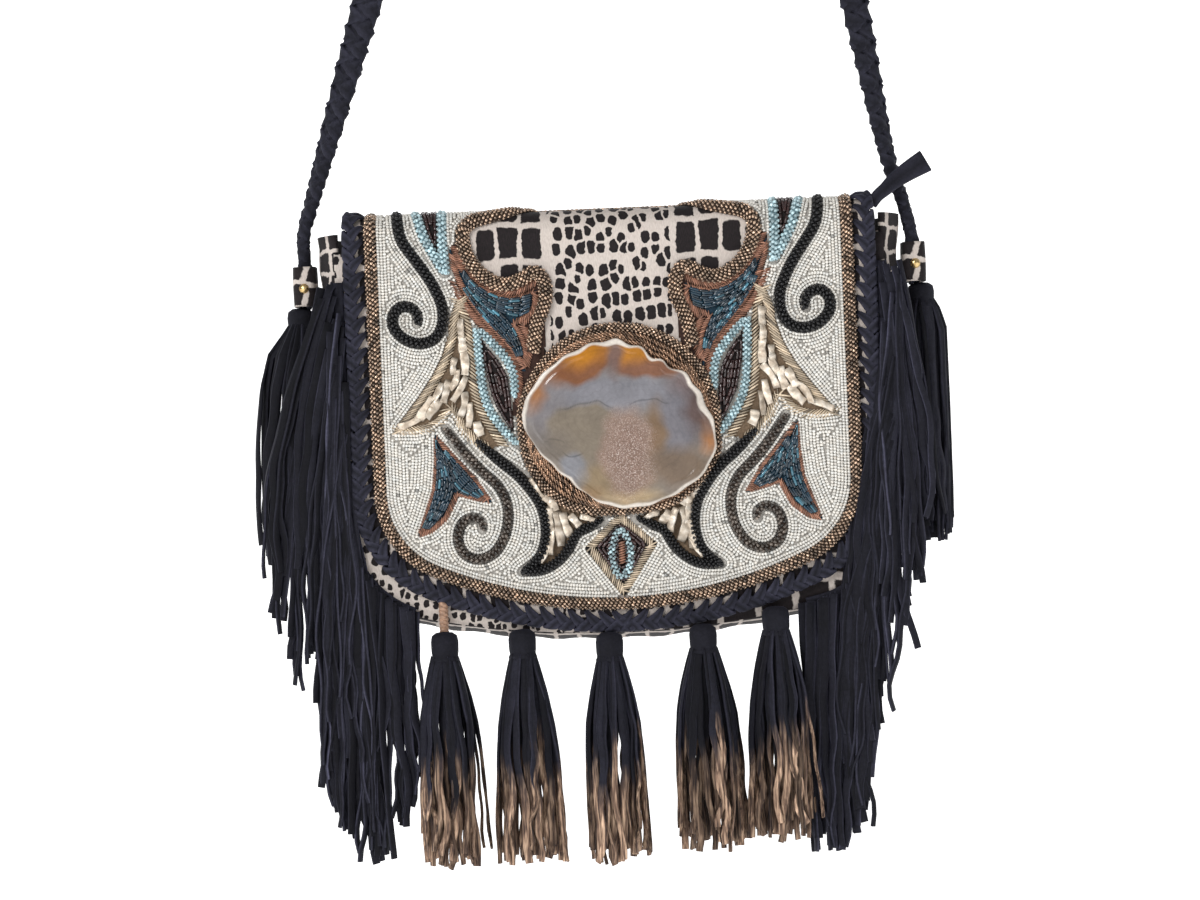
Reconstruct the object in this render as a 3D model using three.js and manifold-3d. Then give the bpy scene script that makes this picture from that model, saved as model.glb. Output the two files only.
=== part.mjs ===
// A beaded flap shoulder bag: printed hide pouch, beaded flap with an agate slice,
// suede lacing, fringe and tassels, and a braided suede strap. Millimetres, +Z up.
// The bag is drawn about the crest of its flap fold and hung so that the underside of
// the strap's highest bend is the origin. The front of the bag faces -Y.
import * as THREE from 'three';
import { mergeVertices } from 'three/addons/utils/BufferGeometryUtils.js';
import Module from 'manifold-3d';

const wasm = await Module();
wasm.setup();

// Driving sizes
const WALL = 2;              // hide and leather thickness
const GAP = 0.3;             // clearance between touching pieces
const DEPTH = 44;            // pouch, outside its front and back panels
const FOLD = 11;             // outer radius of the flap's folds
const BEAD = 2;              // height of the beaded ground
const BEAD_TOP_RUN = 14;     // how far the beadwork runs back over the flat top
const BODY = { half: 124, corner: 45, bottomRadius: 420, bottom: -191.5 };
const FLAP = { half: 107.3, corner: 39, bottomRadius: 206, bottom: -178.5 };
const EDGE = 8.7;            // hide edge, outside the border roll's centre line
const BORDER_WIDTH = 5.5;
const PANEL_TOP = -16;       // upper edge of the front panel, under the flap
const GUSSET_TOP = -7;
const GUSSET_BULGE = { top: 9.5, bottom: 4 };
const STONE = { x: 1.5, z: -98, thick: 6.5, collar: 45.2, collarHeight: 4 };
const STRAP = { wide: 12.5, thick: 6, apexRadius: 28, apexX: 30.7, apexZ: 423.7 };
const SLEEVE = { x: 139.4, half: 5.3, halfDepth: 8.4, top: -20, bottom: -38, wall: 1.4 };

// Depths that follow from the sizes
const PANEL_FACE = -DEPTH / 2;
const FLAP_FACE = PANEL_FACE - GAP - WALL;
const BACK_FACE = DEPTH / 2;
const FOLD_Y = FLAP_FACE + FOLD;
const FOLD_END = FOLD * (Math.PI / 2 - 1);
const MOTIF_LIFT = BEAD + 2 * GAP;

const COLOURS = {
  hide: [0xded2c8, 0.75, 0], white: [0xe4e2da, 0.3, 0], bronze: [0x82644b, 0.35, 0.5],
  black: [0x191a1c, 0.35, 0], grey: [0x554e48, 0.35, 0], blue: [0x193750, 0.25, 0],
  sky: [0x96c3d2, 0.25, 0], gold: [0xd7c8aa, 0.45, 0.4], agate: [0xb09a94, 0.15, 0],
  suede: [0x1c1c24, 0.9, 0], brass: [0xc09a50, 0.3, 1],
};
const materials = {};
for (const [name, [color, roughness, metalness]] of Object.entries(COLOURS)) {
  materials[name] = new THREE.MeshStandardMaterial({ color, roughness, metalness });
}

const bag = new THREE.Group();

function add(name, material, geometry) {
  const mesh = new THREE.Mesh(geometry, materials[material]);
  mesh.name = name;
  bag.add(mesh);
}

// Solids and meshes

function signedVolume(geometry) {
  const at = geometry.getAttribute('position');
  const index = geometry.index.array;
  const [a, b, c] = [new THREE.Vector3(), new THREE.Vector3(), new THREE.Vector3()];
  let sum = 0;
  for (let i = 0; i < index.length; i += 3) {
    a.fromBufferAttribute(at, index[i]);
    b.fromBufferAttribute(at, index[i + 1]);
    c.fromBufferAttribute(at, index[i + 2]);
    sum += a.dot(b.cross(c));
  }
  return sum / 6;
}

function cleaned(geometry) {
  geometry.deleteAttribute('normal');
  geometry.deleteAttribute('uv');
  const merged = mergeVertices(geometry, 1e-3);
  if (signedVolume(merged) < 0) merged.setIndex([...merged.index.array].reverse());
  return merged;
}

function toSolid(geometry) {
  const merged = cleaned(geometry);
  const vertProperties = new Float32Array(merged.getAttribute('position').array);
  const triVerts = new Uint32Array(merged.index.array);
  return new wasm.Manifold(new wasm.Mesh({ numProp: 3, vertProperties, triVerts }));
}

function toGeometry(solid) {
  const mesh = solid.getMesh();
  const geometry = new THREE.BufferGeometry();
  geometry.setAttribute('position', new THREE.Float32BufferAttribute(mesh.vertProperties, 3));
  geometry.setIndex([...mesh.triVerts]);
  return geometry;
}

function joined(geometries, removed = []) {
  let solid = toSolid(geometries[0]);
  for (const geometry of geometries.slice(1)) solid = solid.add(toSolid(geometry));
  for (const geometry of removed) solid = solid.subtract(toSolid(geometry));
  return toGeometry(solid);
}

// A skin over rings of matching points, capped at both ends unless it closes on itself
function loft(rings, section, closed = false) {
  const count = section.length;
  const index = [];
  const spans = closed ? rings.length : rings.length - 1;
  for (let i = 0; i < spans; i++) {
    const here = i * count;
    const next = ((i + 1) % rings.length) * count;
    for (let j = 0; j < count; j++) {
      const k = (j + 1) % count;
      index.push(here + j, here + k, next + k, here + j, next + k, next + j);
    }
  }
  if (!closed) {
    const last = (rings.length - 1) * count;
    for (const [a, b, c] of THREE.ShapeUtils.triangulateShape(section, [])) {
      index.push(a, c, b, last + a, last + b, last + c);
    }
  }
  const geometry = new THREE.BufferGeometry();
  geometry.setFromPoints(rings.flat());
  geometry.setIndex(index);
  return cleaned(geometry);
}

// Sweeps a section (across, up) along points that carry a normal; the section may change with t
function sweep(spots, sectionAt, closed = false) {
  const count = spots.length;
  const rings = spots.map(({ point, normal }, i) => {
    const before = spots[closed ? (i + count - 1) % count : Math.max(i - 1, 0)].point;
    const after = spots[closed ? (i + 1) % count : Math.min(i + 1, count - 1)].point;
    const along = after.clone().sub(before).normalize();
    const across = normal.clone().cross(along).normalize();
    const up = along.clone().cross(across);
    return sectionAt(i / (count - 1)).map(({ x, y }) =>
      point.clone().addScaledVector(across, x).addScaledVector(up, y));
  });
  return loft(rings, sectionAt(0), closed);
}

const vectors = (rows) => rows.map(([x, y]) => new THREE.Vector2(x, y));

const spline = (rows) => new THREE.CatmullRomCurve3(rows.map(([x, y, z = 0]) => new THREE.Vector3(x, y, z)));
const smooth = (rows, count) => spline(rows).getSpacedPoints(count);

// The flap's surface: a chart of width x and height z, with z above 0 counted back over the top

function unrolled(z) {
  if (z <= -FOLD) return z;
  if (z > 0) return FOLD_END + z;
  return -FOLD + FOLD * Math.asin((z + FOLD) / FOLD);
}

function flapSpot(x, height, lift = 0) {
  const turn = THREE.MathUtils.clamp((height + FOLD) / FOLD, 0, Math.PI / 2);
  const normal = new THREE.Vector3(0, -Math.cos(turn), Math.sin(turn));
  const point = new THREE.Vector3(x, FOLD_Y, -FOLD).addScaledVector(normal, FOLD + lift);
  if (height < -FOLD) point.z = height;
  if (height > FOLD_END) point.y += height - FOLD_END;
  return { point, normal };
}

// A round-topped bead roll
const rollSection = (width, tall) => vectors([
  [-width / 2, 0], [width / 2, 0], [width * 0.38, tall * 0.72], [0, tall], [-width * 0.38, tall * 0.72]]);

function roll(rows, width, tall, steps, side = 1) {
  const path = smooth(rows.map(([x, z]) => [x * side, unrolled(z)]), steps);
  return sweep(path.map(({ x, y }) => flapSpot(x, y, MOTIF_LIFT)), () => rollSection(width, tall));
}

// A flat plate in the flap's plane, from one depth forward
function plate(shape, back, thick) {
  const geometry = new THREE.ExtrudeGeometry(shape, { depth: thick, bevelEnabled: false });
  return geometry.rotateX(Math.PI / 2).translate(0, back, 0);
}

const mirrored = (rows, side) => rows.map(([x, z]) => [x * side, z]);
const motifPlate = (rows, side, tall) =>
  plate(new THREE.Shape(vectors(mirrored(rows, side))), FLAP_FACE - MOTIF_LIFT, tall);

// A solid of constant section along X, from a shape drawn in (y, z)
function alongX(shape, x0, x1) {
  const options = { depth: x1 - x0, bevelEnabled: false, curveSegments: 5 };
  const geometry = new THREE.ExtrudeGeometry(shape, options);
  const axes = [new THREE.Vector3(0, 1, 0), new THREE.Vector3(0, 0, 1), new THREE.Vector3(1, 0, 0)];
  return geometry.applyMatrix4(new THREE.Matrix4().makeBasis(...axes)).translate(x0, 0, 0);
}

// Outline of the flap or the pouch: down one side, round the bottom and up the other
function outline(size, offset, top, cornerSteps = 7, bottomSteps = 10) {
  const centreZ = size.bottom + size.bottomRadius;
  const cornerX = size.half - size.corner;
  const reach = size.bottomRadius - size.corner;
  const cornerZ = centreZ - Math.sqrt(reach ** 2 - cornerX ** 2);
  const meet = Math.asin(cornerX / reach);
  const right = [[size.half + offset, top]];
  for (let i = 0; i <= cornerSteps; i++) {
    const angle = (Math.PI / 2 - meet) * (i / cornerSteps);
    const radius = size.corner + offset;
    right.push([cornerX + radius * Math.cos(angle), cornerZ - radius * Math.sin(angle)]);
  }
  for (let i = 1; i <= bottomSteps / 2; i++) {
    const angle = meet * (1 - i / (bottomSteps / 2));
    const radius = size.bottomRadius + offset;
    right.push([radius * Math.sin(angle), centreZ - radius * Math.cos(angle)]);
  }
  const left = right.slice(0, -1).reverse().map(([x, z]) => [-x, z]);
  return [...right, ...left];
}

// Pouch and flap

function foldShape(inner, outer, back) {
  const shape = new THREE.Shape();
  shape.moveTo(FOLD_Y - outer, -FOLD - 1);
  shape.lineTo(FOLD_Y - outer, -FOLD);
  shape.absarc(FOLD_Y, -FOLD, outer, Math.PI, Math.PI / 2, true);
  back(shape);
  shape.absarc(FOLD_Y, -FOLD, inner, Math.PI / 2, Math.PI, false);
  shape.lineTo(FOLD_Y - inner, -FOLD - 1);
  return shape;
}

function hideSheet() {
  const backFold = BACK_FACE - FOLD;
  const over = foldShape(FOLD - WALL, FOLD, (shape) => {
    shape.absarc(backFold, -FOLD, FOLD, Math.PI / 2, 0, true);
    shape.lineTo(BACK_FACE, -FOLD - 1);
    shape.lineTo(BACK_FACE - WALL, -FOLD - 1);
    shape.absarc(backFold, -FOLD, FOLD - WALL, 0, Math.PI / 2, false);
  });
  const half = FLAP.half + EDGE;
  const lap = -FOLD + 0.5;
  const front = new THREE.Shape(vectors(outline(FLAP, EDGE, lap)));
  const shoulder = -30;
  const back = new THREE.Shape(vectors([[half, lap], ...outline(BODY, 0, shoulder), [-half, lap]]));
  return joined([
    alongX(over, -half, half),
    plate(front, FLAP_FACE + WALL, WALL),
    plate(back, BACK_FACE, WALL),
  ]);
}

function gusset() {
  const inset = WALL + GAP;
  const edgeY = DEPTH / 2 - inset;
  const path = outline(BODY, -WALL, GUSSET_TOP, 5, 6);
  const spots = path.map(([x, z]) => ({ point: new THREE.Vector3(x, 0, z) }));
  spots.splice(1, 0, { point: new THREE.Vector3(path[0][0], 0, -80) });
  spots.splice(-1, 0, { point: new THREE.Vector3(-path[0][0], 0, -80) });
  const steps = [-1, -0.5, 0, 0.5, 1];
  for (const spot of spots) spot.normal = new THREE.Vector3(0, 1, 0);
  const sectionAt = (t) => {
    const low = Math.sin(Math.PI * t) ** 0.6;
    const bulge = THREE.MathUtils.lerp(GUSSET_BULGE.top, GUSSET_BULGE.bottom, low);
    const band = (skin) => steps.map((s) => [-(bulge * (1 - s * s) + skin), s * edgeY]);
    return vectors([...band(0).reverse(), ...band(WALL)].reverse());
  };
  return sweep(spots, sectionAt);
}

// The bare window at the top of the beaded ground, right half, from the fold down to the stone
const WINDOW_ROLL = [
  [36, 9], [37, 2], [44.7, -1.3], [61, -4.6], [65.6, -9], [63.4, -20], [57, -28.6], [45, -33],
  [37.5, -29.4], [33, -28.4], [29.2, -36], [30.8, -45], [34.5, -53]];

function beadPanel() {
  const inset = -BORDER_WIDTH / 2 - GAP;
  const front = outline(FLAP, inset, -FOLD + 0.5, 6, 8);
  const half = FLAP.half + inset;
  const side = smooth(WINDOW_ROLL.slice(4).map(([x, z]) => [x, z]), 12).map(({ x, y }) => [x, y]);
  side[0] = [66, -FOLD + 0.5];
  const notch = [...mirrored(side, -1), ...side.reverse()];
  const ends = (shape) => {
    shape.lineTo(FOLD_Y + BEAD_TOP_RUN, BEAD + GAP);
    shape.lineTo(FOLD_Y + BEAD_TOP_RUN, GAP);
  };
  const full = foldShape(FOLD + GAP, FOLD + GAP + BEAD, ends);
  const crest = new THREE.Shape();
  const start = Math.PI * 0.72;
  crest.absarc(FOLD_Y, -FOLD, FOLD + GAP + BEAD, start, Math.PI / 2, true);
  ends(crest);
  crest.absarc(FOLD_Y, -FOLD, FOLD + GAP, Math.PI / 2, start, false);
  return joined([
    plate(new THREE.Shape(vectors([...front, ...notch])), FLAP_FACE - GAP, BEAD),
    alongX(full, 66, half), alongX(full, -half, -66),
    alongX(crest, 37, 66.5), alongX(crest, -66.5, -37),
  ]);
}

// The flap's edge line over the fold, used by the border roll and the lacing
function edgeSpots(offset, top, lift) {
  const [first, ...rest] = outline(FLAP, offset, -FOLD, 6, 8);
  const overFold = [];
  for (let i = 0; i <= 5; i++) overFold.push([first[0], THREE.MathUtils.lerp(FOLD_END, -FOLD, i / 5)]);
  const right = [[first[0], FOLD_END + top], ...overFold];
  const left = right.map(([x, z]) => [-x, z]).reverse();
  return [...right, ...rest.slice(0, -1), ...left].map(([x, z]) => flapSpot(x, z, lift));
}

const LACING_SECTION = vectors([
  [-5.6, GAP], [GAP, GAP], [GAP, -1.9], [3.3, -1.9], [3.3, 1.6], [2.4, 2.4], [-5.6, 2.4]]);

add('hide_back_flap', 'hide', hideSheet());
add('front_panel', 'hide', plate(new THREE.Shape(vectors(outline(BODY, 0, PANEL_TOP))),
  PANEL_FACE + WALL, WALL));
add('gusset', 'hide', gusset());
add('bead_panel', 'white', beadPanel());
add('border_roll', 'bronze',
  sweep(edgeSpots(0, BEAD_TOP_RUN + 3.4, GAP), () => rollSection(BORDER_WIDTH, 5), true));
add('flap_lacing', 'suede', sweep(edgeSpots(EDGE, BEAD_TOP_RUN, 0), () => LACING_SECTION));

// Stone and collar

// Outline of the slice about its middle: angle in degrees, radius
const STONE_ROWS = [
  [0, 42], [30, 38], [56, 33.7], [90, 38], [135, 40], [172, 44.3],
  [195, 38.3], [225, 33.5], [255, 36.2], [300, 39.2], [345, 44.6]];
const SCALLOPS = 20;
const STONE_STEPS = 3 * SCALLOPS;

function stoneRadius(degrees) {
  const next = STONE_ROWS.findIndex(([angle]) => angle > degrees);
  const [a1, r1] = next < 0 ? [360, STONE_ROWS[0][1]] : STONE_ROWS[next];
  const [a0, r0] = STONE_ROWS[(next < 0 ? STONE_ROWS.length : next) - 1];
  const eased = THREE.MathUtils.smoothstep(degrees, a0, a1);
  return THREE.MathUtils.lerp(r0, r1, eased) + 0.8 * Math.cos(SCALLOPS * THREE.MathUtils.degToRad(degrees));
}

function aroundStone(radiusAt, steps) {
  const rows = [];
  for (let i = 0; i < steps; i++) {
    const degrees = (360 * i) / steps;
    const angle = THREE.MathUtils.degToRad(degrees);
    const radius = radiusAt(degrees);
    rows.push([STONE.x + radius * Math.cos(angle), STONE.z + radius * Math.sin(angle)]);
  }
  return vectors(rows);
}

// The collar is round, and flattened below the stone
const collarRadius = (degrees) => {
  const round = STONE.collar - 4.8 * Math.exp(-(((degrees - 272) / 30) ** 2));
  return Math.max(round, stoneRadius(degrees) + 1.5);
};

const collarShape = new THREE.Shape(aroundStone(collarRadius, 40));
collarShape.holes.push(new THREE.Path(aroundStone((d) => stoneRadius(d) + GAP, STONE_STEPS)));
const stoneShape = new THREE.Shape(aroundStone(stoneRadius, STONE_STEPS));
const stoneRoom = plate(new THREE.Shape(aroundStone((d) => collarRadius(d) + GAP, 40)), FLAP_FACE, 12);
add('stone_collar', 'bronze', plate(collarShape, FLAP_FACE - MOTIF_LIFT, STONE.collarHeight));
add('agate_slice', 'agate', plate(stoneShape, FLAP_FACE - MOTIF_LIFT, STONE.thick));

// Motifs, drawn for the right half of the flap as (x, z) and mirrored for the left

const MOTIFS = {
  upperScroll: [[95.6, 9], [95.2, 1], [88.5, -18.5], [78.8, -34], [76.2, -50], [86, -58],
    [98, -50.5], [94, -41], [87.4, -46]],
  lowerScroll: [[75, -98.5], [66.8, -110], [54.4, -123], [50.2, -138.8], [57, -153.3],
    [69.7, -154], [72.6, -143], [65.3, -137.2], [62, -142.6]],
  forkOuter: [[61.5, -104.5], [45.5, -118.5], [35.2, -133], [33.8, -148.7], [45, -162.3]],
  forkInner: [[45, -162.3], [27.7, -157.4], [19.7, -146], [10, -141.8]],
  goldFan: [[29.5, -135.5], [30.3, -143], [30.8, -152], [27.5, -152.5], [25, -147.5], [21.5, -143],
    [16, -140.8], [23.5, -138.8]],
  blueLeaf: [[71, -17], [68, -32], [57, -49.5], [45.5, -62.5], [43, -72], [40.5, -62], [43.5, -51],
    [37, -47], [35.4, -40], [44.5, -39.5], [52, -38], [60.5, -32.5], [67, -24]],
  blueArrow: [[81.7, -99.5], [82, -111], [83.5, -124], [91.3, -144.7], [77.5, -137.3], [72, -128.4],
    [56.7, -131], [64.3, -119.3]],
  skyBudOuter: [[87.5, 9], [87, 1], [83.5, -9], [74.5, -27]],
  skyBudInner: [[75, 9], [75, 1], [75, -12], [74.5, -27]],
  skyLeafOuter: [[60, -53], [60.2, -69], [57, -87.5], [46, -103.5]],
  skyLeafInner: [[60, -53], [49, -65.5], [45.6, -74], [45.4, -83.5]],
  skyLeafFill: [[59, -57], [49, -68], [46.3, -84], [46.2, -102], [55, -89], [59, -75]],
  goldFeather: [[67, -42], [70.5, -53], [73, -66], [78, -77], [85, -86], [93, -94], [84, -95.3],
    [77, -93.8], [72, -86], [66, -92], [62, -99], [54, -104], [59.8, -94], [63, -84], [64, -74],
    [64.4, -62], [65.2, -50]],
};
const LOZENGE = [[0, -140.8], [16, -153.5], [0, -174], [-16, -153.5]];

for (const [side, hand] of [[1, 'right'], [-1, 'left']]) {
  add(`window_roll_${hand}`, 'bronze',
    joined([roll(WINDOW_ROLL, 4.6, 3.6, 26, side)], [stoneRoom]));
  add(`upper_scroll_${hand}`, 'black', roll(MOTIFS.upperScroll, 5, 4, 31, side));
  add(`lower_scroll_${hand}`, 'grey', roll(MOTIFS.lowerScroll, 4.4, 3.6, 19, side));
  add(`fork_${hand}`, 'black', joined(
    [roll(MOTIFS.forkOuter, 4.6, 4, 12, side), roll(MOTIFS.forkInner, 4.4, 3.8, 9, side)], [stoneRoom]));
  add(`gold_fan_${hand}`, 'gold', joined([motifPlate(MOTIFS.goldFan, side, 2.5)], [stoneRoom]));
  add(`gold_feather_${hand}`, 'gold', motifPlate(MOTIFS.goldFeather, side, 2.5));
  add(`blue_leaf_${hand}`, 'blue', joined([motifPlate(MOTIFS.blueLeaf, side, 3)], [stoneRoom]));
  add(`blue_arrow_${hand}`, 'blue', motifPlate(MOTIFS.blueArrow, side, 3));
  add(`sky_bud_${hand}`, 'sky', joined(
    [roll(MOTIFS.skyBudOuter, 4, 3.6, 12, side), roll(MOTIFS.skyBudInner, 4, 3.4, 11, side)]));
  add(`sky_leaf_${hand}`, 'sky', joined(
    [roll(MOTIFS.skyLeafOuter, 3.2, 3.4, 8, side), roll(MOTIFS.skyLeafInner, 3.2, 3.2, 7, side),
      motifPlate(MOTIFS.skyLeafFill, side, 2)], [stoneRoom]));
}
add('lozenge', 'gold', joined([motifPlate(LOZENGE, 1, 3)], [stoneRoom]));

// Fringe and tassels: strips fused to a head

const boxSection = (wide, thick) => vectors([
  [-wide / 2, -thick / 2], [wide / 2, -thick / 2], [wide / 2, thick / 2], [-wide / 2, thick / 2]]);

function strip(points, facing, wide, thick) {
  const spots = points.map(([x, y, z]) => ({ point: new THREE.Vector3(x, y, z), normal: facing }));
  return sweep(spots, () => boxSection(wide, thick));
}

// A head with strips all round it: radii at the head, the belly and the cut ends
function tassel({ x, y, top, headHeight, head, belly, foot, length, strips, stripWidth, lean = 0, flat = 1 }) {
  const headRings = [[0, 0.86], [0.2, 1], [1, 1]].map(([t, r]) => {
    const ring = [];
    for (let i = 0; i < 8; i++) {
      const angle = (Math.PI * i) / 4;
      ring.push(new THREE.Vector3(x + head * r * Math.cos(angle),
        y + head * r * flat * Math.sin(angle), top - t * headHeight));
    }
    return ring;
  });
  const section = headRings[0].map(({ x: a, y: b }) => new THREE.Vector2(a, -b)).reverse();
  const pieces = [loft(headRings.map((ring) => [...ring].reverse()), section)];
  for (let i = 0; i < strips; i++) {
    const angle = (2 * Math.PI * (i + 0.25)) / strips;
    const out = new THREE.Vector3(Math.cos(angle), flat * Math.sin(angle), 0);
    const drop = length * (0.95 + 0.05 * Math.sin(7 * i + x));
    const at = (radius, down, drift) =>
      [x + drift + out.x * radius, y + out.y * radius, top - down];
    pieces.push(strip([
      at(head * 0.8, headHeight * 0.8, 0),
      at(belly * 0.9, headHeight + length * 0.18, lean * 0.6),
      at(foot, drop, lean * 1.2),
    ], out.normalize(), stripWidth, 2.2));
  }
  return joined(pieces);
}

// The five tassels under the flap, from the left: middle and top of each head
const TASSELS = [[-81, -187.6], [-46, -187.8], [-7, -190.7], [35, -188.8], [68, -182.2]];
const TASSEL = { headHeight: 13, head: 6.4, belly: 11.5, foot: 13.4, length: 103, strips: 8, stripWidth: 5.6 };
const TASSEL_Y = PANEL_FACE - GAP - TASSEL.head;
TASSELS.forEach(([x, top], i) => add(`tassel_${i + 1}`, 'suede', tassel({ ...TASSEL, x, y: TASSEL_Y, top })));

// The cord loop that lets the first tassel hang lower than the rest
function cordLoop() {
  const [x, headTop] = TASSELS[0];
  const wire = 1.2;
  const upper = -174.9;        // lower edge of the lacing above it
  const tall = (upper - headTop) / 2 - GAP - wire;
  const spots = [];
  for (let i = 0; i < 14; i++) {
    const angle = (2 * Math.PI * i) / 14;
    const point = new THREE.Vector3(x + 3 * Math.cos(angle), TASSEL_Y + 3.6, (upper + headTop) / 2 + tall * Math.sin(angle));
    spots.push({ point, normal: new THREE.Vector3(0, -1, 0) });
  }
  const hexagon = [0, 1, 2, 3, 4, 5].map((k) => [wire * Math.cos((k * Math.PI) / 3), wire * Math.sin((k * Math.PI) / 3)]);
  return sweep(spots, () => vectors(hexagon), true);
}
add('tassel_cord', 'brass', cordLoop());

// Fringe sewn along the side seam: height of the seam, then outward drift and length of a strip there
const FRINGE_ROWS = {
  left: [[-29, 24, 132], [-60, 20, 136], [-100, 8, 134], [-135, 0, 130], [-160, -4, 126], [-178, 0, 110]],
  right: [[-29, 9, 122], [-60, 5, 130], [-100, 0, 130], [-135, -5, 124], [-160, -7, 120], [-178, -4, 114]],
};
const FRINGE_STRIPS = 16;
const FRINGE_LAYER = 2.1;

function fringeRow(rows, z) {
  const next = Math.max(rows.findIndex(([height]) => height <= z), 1);
  const [z0, drift0, length0] = rows[next - 1];
  const [z1, drift1, length1] = rows[next];
  const t = (z - z0) / (z1 - z0);
  return [THREE.MathUtils.lerp(drift0, drift1, t), THREE.MathUtils.lerp(length0, length1, t)];
}

function fringe(side, rows) {
  const seam = outline(BODY, -1.6, rows[0][0], 6, 2).slice(0, 7);
  const curve = new THREE.CurvePath();
  const headerY = PANEL_FACE - GAP - 1.5 * FRINGE_LAYER;
  const points = seam.map(([x, z]) => new THREE.Vector3(x * side, headerY, z));
  for (let i = 1; i < points.length; i++) curve.add(new THREE.LineCurve3(points[i - 1], points[i]));
  const normal = new THREE.Vector3(0, -1, 0);
  const header = curve.getSpacedPoints(12).map((point) => ({ point, normal }));
  const pieces = [sweep(header, () => boxSection(4.4, 3 * FRINGE_LAYER))];
  for (let i = 0; i < FRINGE_STRIPS; i++) {
    const from = curve.getPointAt((i + 0.5) / FRINGE_STRIPS);
    const [drift, length] = fringeRow(rows, from.z);
    const layer = from.y + ((i % 3) - 1) * FRINGE_LAYER;
    const at = (share, down) => [from.x + side * drift * share, layer, from.z - length * down];
    pieces.push(strip([at(0, 0), at(0.6, 0.35), at(1, 1 + 0.05 * Math.sin(3 * i))], normal, 4.6, 1.8));
  }
  return joined(pieces);
}
add('fringe_left', 'suede', fringe(-1, FRINGE_ROWS.left));
add('fringe_right', 'suede', fringe(1, FRINGE_ROWS.right));

// Strap: a flat braid from sleeve to sleeve. Twist 0 has its flat faces sideways, 90 to the front.

const STRAP_LEFT = [
  [-SLEEVE.x, SLEEVE.bottom + 0.5, 0], [-SLEEVE.x, SLEEVE.top, 0], [-138.5, -5, 12], [-132.7, 9.2, 25],
  [-104, 97.6, 70], [-60, 234, 80], [-14, 376, 25]];
const STRAP_RIGHT = [
  [72.6, 347, 25], [92.5, 234, 85], [118, 88.3, 60], [130.4, 16.8, 25], [135.5, 0, 12],
  [SLEEVE.x, SLEEVE.top, 0], [SLEEVE.x, SLEEVE.bottom + 0.5, 0]];

function strapRows() {
  const apex = [];
  for (const degrees of [162, 126, 90, 50, 10]) {
    const angle = THREE.MathUtils.degToRad(degrees);
    apex.push([STRAP.apexX + STRAP.apexRadius * Math.cos(angle),
      STRAP.apexZ + STRAP.apexRadius * Math.sin(angle), 0]);
  }
  return [...STRAP_LEFT, ...apex, ...STRAP_RIGHT];
}

function strap() {
  const rows = strapRows();
  const path = spline(rows).getPoints(2 * (rows.length - 1));
  const spots = path.map(({ x, y: z, z: twist }, i) => {
    const before = path[Math.max(i - 1, 0)];
    const after = path[Math.min(i + 1, path.length - 1)];
    const along = new THREE.Vector3(after.x - before.x, 0, after.y - before.y).normalize();
    const across = new THREE.Vector3(along.z, 0, -along.x);
    const normal = across.applyAxisAngle(along, THREE.MathUtils.degToRad(twist));
    return { point: new THREE.Vector3(x, 0, z), normal };
  });
  const [w, h] = [STRAP.wide / 2, STRAP.thick / 2];
  const section = vectors([
    [-w, 0], [-w * 0.62, -h], [w * 0.62, -h], [w, 0], [w * 0.62, h], [-w * 0.62, h]]);
  return sweep(spots, () => section);
}
add('strap', 'suede', strap());

const rectangle = (x, y) => vectors([[-x, -y], [x, -y], [x, y], [-x, y]]);

// The strap's loose ends: the left one hangs fuller and leans away from the bag
const STRAP_TASSEL = { y: 0, headHeight: 9, head: 6, flat: 1.1, length: 118, strips: 6 };
const STRAP_TASSELS = {
  left: { belly: 14, foot: 10.5, stripWidth: 6.4, lean: -7 },
  right: { belly: 8.2, foot: 8.2, stripWidth: 4.8, lean: 0 },
};

for (const [side, hand] of [[-1, 'left'], [1, 'right']]) {
  const sleeve = new THREE.Shape(rectangle(SLEEVE.half, SLEEVE.halfDepth));
  const bore = rectangle(SLEEVE.half - SLEEVE.wall, SLEEVE.halfDepth - SLEEVE.wall);
  sleeve.holes.push(new THREE.Path(bore));
  const tube = new THREE.ExtrudeGeometry(sleeve, { depth: SLEEVE.top - SLEEVE.bottom, bevelEnabled: false });
  add(`strap_sleeve_${hand}`, 'hide', cleaned(tube.translate(side * SLEEVE.x, 0, SLEEVE.bottom)));
  const rivet = new THREE.LatheGeometry(vectors([[0, 0], [2.3, 0], [2, 0.9], [1.1, 1.5], [0, 1.7]]), 12);
  rivet.rotateX(Math.PI).translate(side * SLEEVE.x, -SLEEVE.halfDepth - 0.05, -30);
  add(`rivet_${hand}`, 'brass', cleaned(rivet));
  const place = { x: side * (SLEEVE.x + 3), top: SLEEVE.bottom - GAP };
  add(`strap_tassel_${hand}`, 'suede', tassel({ ...STRAP_TASSEL, ...STRAP_TASSELS[hand], ...place }));
}

// The lacing's free end, from the flap's top right corner across the strap
function lacingTail() {
  const rows = [[122, -18.6, -0.6], [126.4, -15.6, 3.4], [131, -11.4, 7.5], [138, -10.2, 12], [146, -9.6, 16.4]];
  const normal = new THREE.Vector3(0, -1, 0);
  const spots = rows.map(([x, y, z]) => ({ point: new THREE.Vector3(x, y, z), normal }));
  return sweep(spots, (t) => boxSection(6 + 4.6 * t * t, 1.8));
}
add('lacing_tail', 'suede', lacingTail());

bag.position.set(-STRAP.apexX, 0, -(STRAP.apexZ + STRAP.apexRadius - STRAP.thick / 2));
const hung = new THREE.Group();
hung.add(bag);

export default hung;
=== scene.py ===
"""A beaded flap shoulder bag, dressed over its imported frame."""
import math

import bpy
import numpy as np
from mathutils import Matrix, Vector
from mathutils.kdtree import KDTree


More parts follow.
